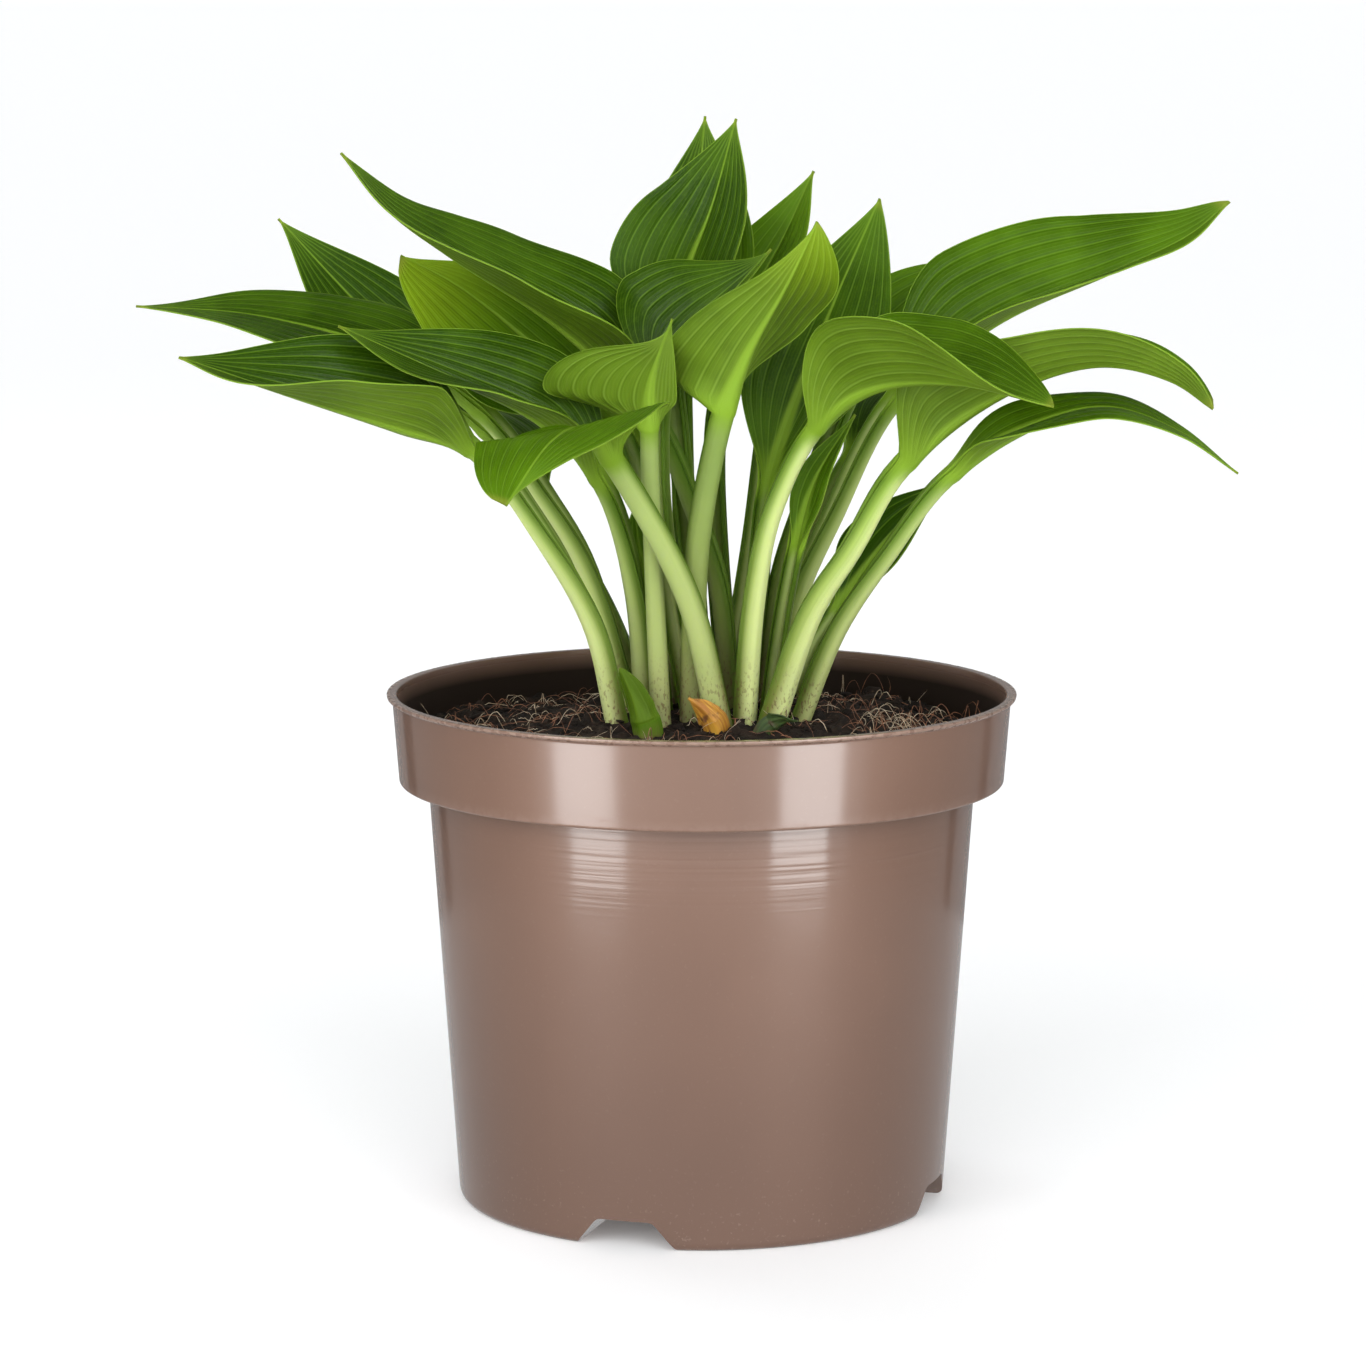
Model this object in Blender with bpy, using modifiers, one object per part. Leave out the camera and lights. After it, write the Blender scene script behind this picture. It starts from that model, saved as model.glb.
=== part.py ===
"""Hosta plant in a moulded 19 cm nursery pot, standing on a table.

The pot's axis is Z and the plane it stands on is Z = 0. All named sizes are millimetres; meshes are
made in metres. Each leaf, with its stalk, grew as one piece and is one object.
"""
import math
from dataclasses import dataclass

import bpy
import bmesh
import numpy as np
from mathutils import Matrix

MM = 0.001
CLEARANCE = 0.3

# Pot: outside radii and heights.
POT_HEIGHT = 154.3
LIP_RADIUS = 95.0
LIP_DEPTH = 1.6
COLLAR_TOP_RADIUS = 93.4
COLLAR_FOOT_RADIUS = 91.3
COLLAR_FOOT_HEIGHT = 127.5
WALL_TOP_RADIUS = 82.6
FOOT_RADIUS = 73.8
FOOT_ROUNDING = 2.4
WALL = 1.4
FLOOR = 1.6
POT_STEPS = 56

# Drainage channels moulded into the floor, open under the pot and through its wall.
CHANNEL_ANGLES = [-108, -18, 72, 162]
CHANNEL_FOOT_WIDTH = 31.0
CHANNEL_TOP_WIDTH = 17.0
CHANNEL_HEIGHT = 8.5
CHANNEL_INNER_END = 28.0
CHANNEL_SHELL = 1.4
DRAIN_HOLE_RADIUS = 4.0
DRAIN_HOLE_REACH = 50.0

# Soil: level near the wall, and a low mound round the plant's crown.
SOIL_LEVEL = 141.5
SOIL_CROWN = 145.0
SOIL_CROWN_RADIUS = 42.0
STALK_FOOT = SOIL_CROWN + CLEARANCE

# Leaves: sections along stalk and blade, and points across half a section, rib to margin.
STALK_STATIONS = 6
BLADE_STATIONS = 11
ACROSS = np.array([0.0, 0.4, 1.0])
STALK_CHANNEL = ((25.0, 65.0),)
BLADE_SHEET = 0.7
TIP_HALF_WIDTH = 0.35


@dataclass
class Leaf:
    """A leaf's rib runs from its root through the stalk's points to the blade's, which start at the neck.

    width is the blade's greatest half width, left and right as seen from above with the tip ahead.
    facing is where the upper side looks, at even steps from neck to tip, and stalk_facing at the root.
    left and right say how each half rises from flat: degrees at the rib and at the margin, at even
    steps from neck to tip. widest and point hold, for the left half and the right, how far along the
    blade that half is widest and how finely it tapers to the tip. stalk is half its width at the root
    and at the neck, then its thickness.
    """

    name: str
    root: tuple
    stalk_points: list
    blade_points: list
    width: tuple
    stalk_facing: tuple
    facing: list
    left: list
    right: list
    stalk: tuple = (3.3, 2.9, 4.2)
    widest: tuple = (0.42, 0.42)
    point: tuple = (1.25, 1.25)


LEAVES = [
    # Left side, from the lowest up.
    Leaf("leaf_left_low", (-24, -22), [(-31.5, -25, 178), (-45, -29, 203)],
         [(-66, -34, 231), (-88, -42, 238), (-119, -52, 248.5), (-150, -58, 260)], (27, 27),
         (0.8, 0.3, 0.5), [(0.2, -0.35, 0.9), (0, -0.35, 1), (0, -0.4, 1)],
         [(65, 60), (52, 40), (5, 0)], [(70, 60), (50, 40), (15, 10)], widest=(0.28, 0.28),
         point=(1.25, 1.0)),
    Leaf("leaf_left_long", (-20, -5), [(-34, -5, 193), (-47, -4, 215)],
         [(-64, -1, 238), (-93, 9, 255), (-133, 16, 266), (-171, 20, 269)], (22, 21),
         (0.8, 0.2, 0.5), [(0.3, -0.4, 0.8), (0, -0.3, 1), (0, -0.3, 1)],
         [(25, 25), (5, 0), (5, 5)], [(35, 35), (16, 8), (6, 6)]),
    Leaf("leaf_left_mid", (-16, -14), [(-19.5, -16, 188)],
         [(-29, -23, 220), (-45, -28, 237), (-73, -37, 252), (-105, -46, 268)], (25, 23),
         (0.8, 0.3, 0.4), [(0.3, -0.4, 0.8), (0, -0.55, 0.83), (0, -0.5, 0.9)],
         [(60, 58), (46, 36), (4, 0)], [(50, 40), (28, 18), (15, 10)], widest=(0.42, 0.33)),
    Leaf("leaf_left_back", (-21, 8), [(-34, 12, 185), (-48, 20, 210)],
         [(-64, 32, 229), (-90, 46, 251), (-114, 55, 275), (-131, 60, 293)], (20, 19),
         (0.8, 0, 0.5), [(0.3, -0.6, 0.7), (0.1, -0.8, 0.6), (0.1, -0.8, 0.6)],
         [(20, 20), (15, 15), (10, 10)], [(10, 10), (5, 5), (0, 0)]),
    Leaf("leaf_left_pale", (-10, 8), [(-13, 12, 180), (-17, 13, 209)],
         [(-25, 12, 232), (-48, 10, 255), (-72, 8, 275), (-90, 6, 285)], (28, 20),
         (0.6, -0.6, 0.4), [(0.2, -0.8, 0.5), (0.1, -0.85, 0.5), (0.1, -0.8, 0.5)],
         [(25, 20), (15, 10), (10, 5)], [(20, 15), (5, 0), (0, 0)], widest=(0.5, 0.36),
         point=(0.55, 1.3)),
    Leaf("leaf_left_high", (10, 1), [(6, 0, 186), (-1, -2, 208)],
         [(-14, -7, 238), (-40, -15, 264), (-74, -24, 287), (-91, -27, 300), (-105, -28, 317)], (27, 27),
         (0.8, 0, 0.5), [(0.5, -0.3, 0.8), (0.5, -0.2, 0.8), (0.5, -0.25, 0.8)],
         [(60, 55), (32, 25), (12, 8)], [(65, 60), (28, 20), (20, 15)], widest=(0.32, 0.3),
         point=(1.25, 1.1)),
    # Front, folded over towards the front.
    Leaf("leaf_front_folded", (6, -27), [(-3, -31, 184), (-14, -36, 208)],
         [(-26, -45, 229), (-33, -62, 240), (-43, -84, 238), (-55, -99, 222)], (25, 28),
         (0.3, 0.9, 0.3), [(0.3, 0.85, 0.4), (0.1, 0.2, 1), (-0.1, -0.7, 0.7), (-0.1, -0.9, 0.4)],
         [(38, 30), (16, 6), (0, 0)], [(15, 10), (-15, -25), (-15, -20)], widest=(0.3, 0.45),
         point=(1.9, 0.5)),
    Leaf("leaf_front_curled", (-12, -25), [(-14, -26, 190)],
         [(-15.5, -33, 236), (-15, -38, 250), (-12, -42, 261), (-8.7, -46, 270)], (8, 32),
         (0, 1, 0.2), [(0, 1, 0.1), (0.1, 0.9, 0), (0, 0.9, 0.2)],
         [(15, 10), (15, 0), (10, 0)], [(15, 10), (10, 0), (10, 0)], stalk=(2.6, 2.4, 3.4),
         widest=(0.3, 0.28), point=(1.25, 3.2)),
    # Centre, from the front back.
    Leaf("leaf_centre_front", (-3, -18), [(-2.5, -23, 178), (-1, -29, 205)],
         [(6, -34, 241), (13, -38, 259), (24, -43, 279), (33, -45, 298)], (19, 24),
         (-0.2, 1, 0.2), [(-0.2, 0.9, 0.3)],
         [(65, 55), (38, 25), (0, -10)], [(20, 10), (10, 5), (10, 5)], widest=(0.6, 0.07),
         point=(0.8, 1.6)),
    Leaf("leaf_top_front", (-2, -8), [(-9, -13, 184), (-13, -18, 220)],
         [(-11, -20, 249), (-2, -23, 263), (8, -26, 275), (20, -28, 289)], (31, 14),
         (-0.3, -0.7, 0.3), [(-0.3, -0.75, 0.6), (-0.35, -0.7, 0.6), (-0.2, -0.7, 0.7)],
         [(20, 15), (15, 0), (10, 0)], [(60, 60), (55, 50), (30, 30)], widest=(0.26, 0.33),
         point=(1.6, 1.25)),
    Leaf("leaf_top_centre", (0, 8), [(-3, 8, 193), (-7, 6, 230)],
         [(-9, 6, 256), (-5, 3, 278), (3, -2, 300), (10, -6, 326)], (24, 20),
         (-0.2, -0.9, 0.2), [(-0.2, -0.9, 0.3), (-0.3, -0.9, 0.3), (-0.3, -0.9, 0.3)],
         [(20, 15), (15, 10), (10, 10)], [(40, 40), (30, 30), (10, 10)], widest=(0.34, 0.45)),
    Leaf("leaf_top_back", (-2, 18), [(-5, 21, 197), (-6, 21, 234)],
         [(-6, 22, 255), (-4, 20, 280), (-1, 18, 304), (1, 16, 326)], (15, 20),
         (0, -1, 0.2), [(-0.1, -0.95, 0.2)],
         [(20, 15), (10, 10), (10, 10)], [(20, 15), (10, 10), (10, 10)]),
    Leaf("leaf_top_right", (9, 22), [(5, 28, 191), (4, 30, 224)],
         [(6, 30, 242), (15, 30, 269), (26, 31, 291), (34, 32, 309)], (15, 18),
         (0, -1, 0.2), [(-0.2, -0.9, 0.4)],
         [(20, 15), (10, 10), (10, 10)], [(50, 50), (50, 50), (30, 30)]),
    # Right side.
    Leaf("leaf_right_upright", (12, 9), [(17, 12, 186)],
         [(20, 13, 214), (29, 12, 243), (41, 8, 274), (53, 4, 302)], (19, 20),
         (0, -1, 0.2), [(-0.15, -0.95, 0.25)],
         [(25, 15), (15, 10), (10, 10)], [(20, 10), (0, -5), (0, 0)], widest=(0.38, 0.5),
         point=(1.25, 0.9)),
    Leaf("leaf_right_back", (19, 14), [(24, 15, 185), (32, 19, 210)],
         [(45, 31, 241), (58, 38, 260), (72, 43, 272), (89, 48, 281)], (16, 16),
         (-0.3, -0.8, 0.3), [(-0.3, -0.7, 0.6)],
         [(20, 15), (10, 10), (10, 10)], [(20, 15), (10, 10), (10, 10)]),
    Leaf("leaf_right_big", (21, 3), [(28, 3, 182), (39, 5, 207)],
         [(57, 8, 241), (88, 15, 264), (124, 21, 279), (148, 26, 290), (160, 28, 300)], (28, 25),
         (-0.7, 0.1, 0.5), [(-0.4, -0.4, 0.8), (-0.4, -0.35, 0.8), (-0.3, -0.3, 0.9)],
         [(52, 48), (44, 38), (35, 30)], [(50, 45), (32, 25), (10, 5)], widest=(0.32, 0.4),
         point=(0.75, 1.3)),
    Leaf("leaf_right_front", (12, -20), [(15, -24, 186), (20, -28, 212)],
         [(32, -35, 237), (49, -50, 250), (73, -66, 253), (99, -80, 248)], (27, 27),
         (-0.8, 0.4, 0.4), [(-0.4, -0.1, 0.9), (0, -0.1, 1), (0, -0.2, 1)],
         [(60, 55), (40, 35), (25, 20)], [(75, 75), (58, 52), (20, 15)], widest=(0.35, 0.36),
         point=(0.75, 1.2)),
    Leaf("leaf_right_arched", (19, -24), [(32, -26, 183), (43, -28, 201)],
         [(58, -30, 226), (87, -34, 247), (115, -40, 256), (136, -44, 252), (148, -46, 244)], (21, 27),
         (-0.8, 0.4, 0.4), [(-0.5, -0.1, 0.8), (-0.2, -0.1, 0.9), (0.1, -0.1, 1)],
         [(50, 45), (18, 12), (20, 20)], [(75, 75), (45, 45), (45, 40)],
         stalk=(3.9, 3.4, 4.8), widest=(0.45, 0.2), point=(0.5, 0.7)),
    Leaf("leaf_right_low", (28, -14), [(40, -17, 176), (54, -21, 198)],
         [(72, -25, 222), (98, -30, 238), (119, -32, 243), (140, -34, 236), (157, -34, 224)], (12, 14),
         (-0.8, 0.3, 0.4), [(-0.5, -0.2, 0.8), (0, -0.2, 1), (0.2, -0.2, 1)],
         [(50, 45), (15, 5), (5, 0)], [(35, 30), (10, 0), (0, 0)],
         stalk=(3.0, 2.6, 3.8), widest=(0.3, 0.3)),
    Leaf("leaf_right_drooping", (27, 23), [(35, 33, 163)],
         [(42, 38, 173), (52, 44, 187), (63, 50, 200), (77, 56, 212)], (13, 8),
         (-0.3, -0.8, 0.4), [(-0.3, -0.8, 0.5)],
         [(15, 10), (10, 5), (10, 5)], [(15, 10), (10, 5), (10, 5)], stalk=(2.8, 2.6, 3.4)),
    # Rear, leaning away.
    Leaf("leaf_rear_left", (-17, 19), [(-31, 36, 177)],
         [(-49, 52, 205), (-63, 72, 223), (-77, 92, 230), (-90, 112, 228)], (20, 20),
         (0.6, -0.6, 0.4), [(0.4, -0.2, 0.8), (0.2, 0.2, 1)],
         [(45, 40), (25, 20), (10, 5)], [(45, 40), (25, 20), (10, 5)]),
    Leaf("leaf_rear_centre", (-6, 28), [(-13, 48, 188)],
         [(-19, 64, 224), (-24, 88, 244), (-27, 116, 252), (-26, 146, 247)], (23, 23),
         (0.1, -0.9, 0.3), [(0.1, -0.5, 0.8), (0, 0.1, 1)],
         [(45, 40), (25, 20), (10, 5)], [(45, 40), (25, 20), (10, 5)]),
    Leaf("leaf_rear_tall", (8, 32), [(16, 48, 194)],
         [(21, 62, 230), (27, 80, 254), (33, 104, 265), (39, 130, 266)], (22, 22),
         (-0.1, -0.9, 0.3), [(-0.1, -0.6, 0.7), (0, 0, 1)],
         [(45, 40), (25, 20), (10, 5)], [(45, 40), (25, 20), (10, 5)]),
    Leaf("leaf_rear_right", (19, 31), [(31, 48, 188)],
         [(47, 70, 217), (62, 98, 233), (75, 122, 237), (86, 146, 234)], (20, 20),
         (-0.4, -0.7, 0.3), [(-0.4, -0.4, 0.8), (0, 0.1, 1)],
         [(45, 40), (25, 20), (10, 5)], [(45, 40), (25, 20), (10, 5)]),
    # Young leaves, a shoot and two spent leaf sheaths at the soil.
    Leaf("young_leaf_left", (-11, -3), [(-13, -5, 165)],
         [(-17, -8, 186), (-19, -9, 200), (-20, -9, 211)], (4.5, 4.5),
         (0, -0.9, 0.3), [(0.2, -0.9, 0.3)],
         [(30, 30), (20, 20), (10, 10)], [(30, 30), (20, 20), (10, 10)],
         stalk=(2.4, 2.2, 3.0), point=(0.8, 0.8)),
    Leaf("young_leaf_right", (20, -8), [(24, -11, 177)],
         [(28, -15, 199), (34, -19, 221), (45, -22, 240)], (6, 6),
         (-0.3, -0.8, 0.4), [(-0.3, -0.8, 0.3), (-0.3, -0.6, 0.7)],
         [(30, 30), (20, 20), (10, 10)], [(30, 30), (20, 20), (10, 10)], stalk=(2.6, 2.2, 3.0)),
    Leaf("young_shoot", (-17, -37), [(-17.1, -37, 148)],
         [(-17.7, -37.2, 150.5), (-20.2, -38, 158), (-24, -38.5, 167)], (4.8, 4.8),
         (0.3, 0.9, 0.1), [(0.3, 0.9, 0.1)],
         [(25, 60), (25, 55), (20, 40)], [(25, 60), (25, 55), (20, 40)],
         stalk=(5.4, 5.4, 1.8), widest=(0.3, 0.3), point=(0.8, 0.8)),
    Leaf("dry_sheath", (5, -36.5), [(4.8, -36.6, 148)],
         [(3.8, -37, 150.5), (0.4, -37.6, 154.5), (-4, -38, 158)], (3.4, 4.2),
         (-0.2, 0.9, 0.3), [(-0.2, 0.9, 0.3)],
         [(30, 40), (30, 40), (20, 20)], [(30, 40), (30, 40), (20, 20)],
         stalk=(4.2, 4.2, 1.0), widest=(0.3, 0.2)),
    Leaf("green_sheath", (18, -38.5), [(19.5, -39, 148.5)],
         [(21, -39.5, 150), (24, -40.5, 151.5), (28, -41.5, 152)], (4, 4),
         (-0.2, 0.9, 0.4), [(-0.2, 0.7, 0.7), (0, 0.2, 1)],
         [(20, 20), (20, 20), (10, 10)], [(20, 20), (20, 20), (10, 10)],
         stalk=(3.4, 3.4, 1.6), widest=(0.2, 0.2)),
]

POT_BROWN = (0.235, 0.135, 0.098)
SOIL_BROWN = (0.022, 0.014, 0.010)
LEAF_GREEN = (0.060, 0.170, 0.012)
YOUNG_GREEN = (0.110, 0.250, 0.030)
DRY_ORANGE = (0.450, 0.200, 0.030)
OWN_COLOURS = {
    "young_leaf_left": YOUNG_GREEN,
    "young_leaf_right": YOUNG_GREEN,
    "young_shoot": YOUNG_GREEN,
    "dry_sheath": DRY_ORANGE,
}


def clear_scene():
    for obj in list(bpy.data.objects):
        bpy.data.objects.remove(obj)


def new_collection(name):
    collection = bpy.data.collections.new(name)
    bpy.context.scene.collection.children.link(collection)
    return collection


def plain_material(name, colour, roughness):
    material = bpy.data.materials.new(name)
    material.use_nodes = True
    shader = material.node_tree.nodes["Principled BSDF"]
    shader.inputs["Base Color"].default_value = (*colour, 1)
    shader.inputs["Roughness"].default_value = roughness
    shader.inputs["Metallic"].default_value = 0.0
    return material


def add_object(name, mesh, collection, material=None):
    obj = bpy.data.objects.new(name, mesh)
    collection.objects.link(obj)
    if material:
        mesh.materials.append(material)
    return obj


def as_cutter(obj):
    obj.hide_render = True
    obj.display_type = "WIRE"
    return obj


def add_boolean(obj, operation, other):
    boolean = obj.modifiers.new(f"{operation} {other.name}", "BOOLEAN")
    boolean.operation = operation
    boolean.solver = "EXACT"
    boolean.object = other


def turned(name, profile, steps, collection, material=None):
    """The solid that a profile of (radius, height) makes when it turns about Z."""
    mesh = bpy.data.meshes.new(name)
    points = [(radius * MM, 0, height * MM) for radius, height in profile]
    edges = [(i, i + 1) for i in range(len(points) - 1)]
    mesh.from_pydata(points, edges, [])
    obj = add_object(name, mesh, collection, material)
    screw = obj.modifiers.new("Turn", "SCREW")
    screw.steps = steps
    screw.render_steps = steps
    screw.use_smooth_shade = True
    screw.use_merge_vertices = True
    screw.merge_threshold = 0.00001
    return obj


def rounded_corner(before, corner, after, radius, count=3):
    """Points of an arc-like curve that rounds the corner between two neighbours."""
    before, corner, after = (np.array(p, float) for p in (before, corner, after))
    start = corner + radius * (before - corner) / np.linalg.norm(before - corner)
    end = corner + radius * (after - corner) / np.linalg.norm(after - corner)
    shares = np.linspace(0, 1, count)
    return [tuple((1 - t) ** 2 * start + 2 * t * (1 - t) * corner + t * t * end) for t in shares]


def wall_radius(height):
    """The wall's outside radius under the collar."""
    return FOOT_RADIUS + (WALL_TOP_RADIUS - FOOT_RADIUS) * height / COLLAR_FOOT_HEIGHT


def collar_radius(height):
    share = (height - COLLAR_FOOT_HEIGHT) / (POT_HEIGHT - COLLAR_FOOT_HEIGHT)
    return COLLAR_FOOT_RADIUS + (COLLAR_TOP_RADIUS - COLLAR_FOOT_RADIUS) * share


def pot_profile():
    ledge_height = COLLAR_FOOT_HEIGHT + WALL
    lip_foot = POT_HEIGHT - LIP_DEPTH
    inner_foot = (wall_radius(FLOOR) - WALL, FLOOR)
    inner_ledge = (wall_radius(ledge_height) - WALL, ledge_height)
    inner_collar = (collar_radius(ledge_height) - WALL, ledge_height)
    inner_lip = (COLLAR_TOP_RADIUS - WALL, POT_HEIGHT)
    lip_edge = (LIP_RADIUS, POT_HEIGHT)
    collar_foot = (COLLAR_FOOT_RADIUS, COLLAR_FOOT_HEIGHT)
    wall_head = (WALL_TOP_RADIUS, COLLAR_FOOT_HEIGHT)
    foot = (FOOT_RADIUS, 0)
    collar_head = (collar_radius(lip_foot), lip_foot)
    return [
        (0, FLOOR),
        *rounded_corner((0, FLOOR), inner_foot, inner_ledge, 2.0, 2),
        inner_ledge,
        inner_collar,
        *rounded_corner(inner_collar, inner_lip, lip_edge, 0.6, 2),
        *rounded_corner(inner_lip, lip_edge, (LIP_RADIUS, lip_foot), 0.9),
        (LIP_RADIUS - 0.2, lip_foot + 0.6),
        collar_head,
        *rounded_corner(collar_head, collar_foot, wall_head, 1.8),
        wall_head,
        *rounded_corner(wall_head, foot, (0, 0), FOOT_ROUNDING),
        (0, 0),
    ]


def channel_prism(name, angle, grow, start, end, foot, collection):
    """A radial trapezoid bar: the channel's hollow, or its shell when grow is the shell's thickness."""
    half_foot = CHANNEL_FOOT_WIDTH / 2 + grow
    half_top = CHANNEL_TOP_WIDTH / 2 + grow
    top = CHANNEL_HEIGHT + grow
    slope = (half_foot - half_top) / top
    below = half_foot - slope * foot
    outline = [(-below, foot), (below, foot), (half_top, top), (-half_top, top)]
    shape = bmesh.new()
    rings = []
    for reach in (start, end):
        rings.append([shape.verts.new((x * MM, -reach * MM, z * MM)) for x, z in outline])
    inner, outer = rings
    shape.faces.new(inner[::-1])
    shape.faces.new(outer)
    for i in range(len(outline)):
        j = (i + 1) % len(outline)
        shape.faces.new((inner[i], inner[j], outer[j], outer[i]))
    bmesh.ops.recalc_face_normals(shape, faces=shape.faces)
    bmesh.ops.rotate(shape, verts=shape.verts, matrix=turn_about_z(angle))
    mesh = bpy.data.meshes.new(name)
    shape.to_mesh(mesh)
    shape.free()
    return as_cutter(add_object(name, mesh, collection))


def turn_about_z(degrees):
    return Matrix.Rotation(math.radians(degrees), 3, "Z")


def drain_hole(name, angle, collection):
    shape = bmesh.new()
    bmesh.ops.create_cone(shape, cap_ends=True, segments=12, radius1=DRAIN_HOLE_RADIUS * MM,
                          radius2=DRAIN_HOLE_RADIUS * MM, depth=12 * MM)
    middle = (0, -DRAIN_HOLE_REACH * MM, CHANNEL_HEIGHT * MM)
    bmesh.ops.translate(shape, verts=shape.verts, vec=middle)
    bmesh.ops.rotate(shape, verts=shape.verts, matrix=turn_about_z(angle))
    mesh = bpy.data.meshes.new(name)
    shape.to_mesh(mesh)
    shape.free()
    return as_cutter(add_object(name, mesh, collection))


def make_pot(parts, cutters):
    pot = turned("pot", pot_profile(), POT_STEPS, parts, plain_material("pot_plastic", POT_BROWN, 0.28))
    # The shells end halfway through the wall, whose mid-surface is this plug's side.
    plug_top = CHANNEL_HEIGHT * 2
    plug_profile = [(0, plug_top), (wall_radius(plug_top) - WALL / 2, plug_top),
                    (wall_radius(FLOOR / 2) - WALL / 2, FLOOR / 2), (0, FLOOR / 2)]
    plug = as_cutter(turned("channel_plug", plug_profile, POT_STEPS, cutters))
    for index, angle in enumerate(CHANNEL_ANGLES):
        shell = channel_prism(f"channel_shell_{index}", angle, CHANNEL_SHELL,
                              CHANNEL_INNER_END - CHANNEL_SHELL, FOOT_RADIUS + 12, FLOOR / 4, cutters)
        add_boolean(shell, "INTERSECT", plug)
        add_boolean(pot, "UNION", shell)
    for index, angle in enumerate(CHANNEL_ANGLES):
        hollow = channel_prism(f"channel_{index}", angle, 0, CHANNEL_INNER_END, FOOT_RADIUS + 12, -2,
                               cutters)
        add_boolean(pot, "DIFFERENCE", hollow)
        add_boolean(pot, "DIFFERENCE", drain_hole(f"drain_hole_{index}", angle, cutters))
    return pot


def make_soil(parts, cutters):
    ledge = COLLAR_FOOT_HEIGHT + WALL + CLEARANCE
    inside = WALL + CLEARANCE
    floor = FLOOR + CLEARANCE
    profile = [
        (0, SOIL_CROWN),
        (SOIL_CROWN_RADIUS, SOIL_CROWN),
        (SOIL_CROWN_RADIUS + 14, (SOIL_CROWN + SOIL_LEVEL) / 2),
        (SOIL_CROWN_RADIUS + 26, SOIL_LEVEL),
        (collar_radius(SOIL_LEVEL) - inside, SOIL_LEVEL),
        (collar_radius(ledge) - inside, ledge),
        (wall_radius(ledge) - inside, ledge),
        (wall_radius(floor + 3) - inside, floor + 3),
        (wall_radius(floor) - inside - 3, floor),
        (0, floor),
    ]
    soil = turned("soil", profile, POT_STEPS, parts, plain_material("peat", SOIL_BROWN, 0.95))
    for index, angle in enumerate(CHANNEL_ANGLES):
        over = channel_prism(f"soil_channel_{index}", angle, CHANNEL_SHELL + CLEARANCE,
                             CHANNEL_INNER_END - CHANNEL_SHELL - CLEARANCE, FOOT_RADIUS + 12, -2, cutters)
        add_boolean(soil, "DIFFERENCE", over)
    return soil


def curve_through(points, per_span=24):
    """Points of a centripetal Catmull-Rom curve, and the span position of each."""
    points = np.asarray(points, float)
    points = np.vstack([2 * points[0] - points[1], points, 2 * points[-1] - points[-2]])
    curve, places = [], []
    for span in range(1, len(points) - 2):
        p0, p1, p2, p3 = points[span - 1:span + 3]
        t1 = math.dist(p0, p1) ** 0.5
        t2 = t1 + math.dist(p1, p2) ** 0.5
        t3 = t2 + math.dist(p2, p3) ** 0.5
        last = span == len(points) - 3
        for share in np.arange(per_span + last) / per_span:
            t = t1 + (t2 - t1) * share
            a1 = p0 + t / t1 * (p1 - p0)
            a2 = p1 + (t - t1) / (t2 - t1) * (p2 - p1)
            a3 = p2 + (t - t2) / (t3 - t2) * (p3 - p2)
            b1 = a1 + t / t2 * (a2 - a1)
            b2 = a2 + (t - t1) / (t3 - t1) * (a3 - a2)
            curve.append(b1 + share * (b2 - b1))
            places.append(span - 1 + share)
    return np.array(curve), np.array(places)


def eased(values, u):
    """Smoothly joined values at u, where the values lie at even steps from 0 to 1."""
    values = np.asarray(values, float)
    if len(values) == 1:
        return np.repeat(values, len(u), axis=0)
    at = np.clip(u, 0, 1) * (len(values) - 1)
    low = np.minimum(at.astype(int), len(values) - 2)
    share = (at - low)[:, None]
    share = share * share * (3 - 2 * share)
    return values[low] * (1 - share) + values[low + 1] * share


def smooth_step(x):
    x = np.clip(x, 0, 1)
    return x * x * (3 - 2 * x)


def unit(vectors):
    return vectors / np.linalg.norm(vectors, axis=-1, keepdims=True)


def blade_outline(u, widest, point):
    """Half width over the greatest, from the neck at 0 to the tip at 1."""
    rise = np.sin(0.5 * math.pi * np.clip(u / widest, 0, 1)) ** 1.3
    fall = np.cos(0.5 * math.pi * np.clip((u - widest) / (1 - widest), 0, 1)) ** point
    return np.where(u < widest, rise, fall)


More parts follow.
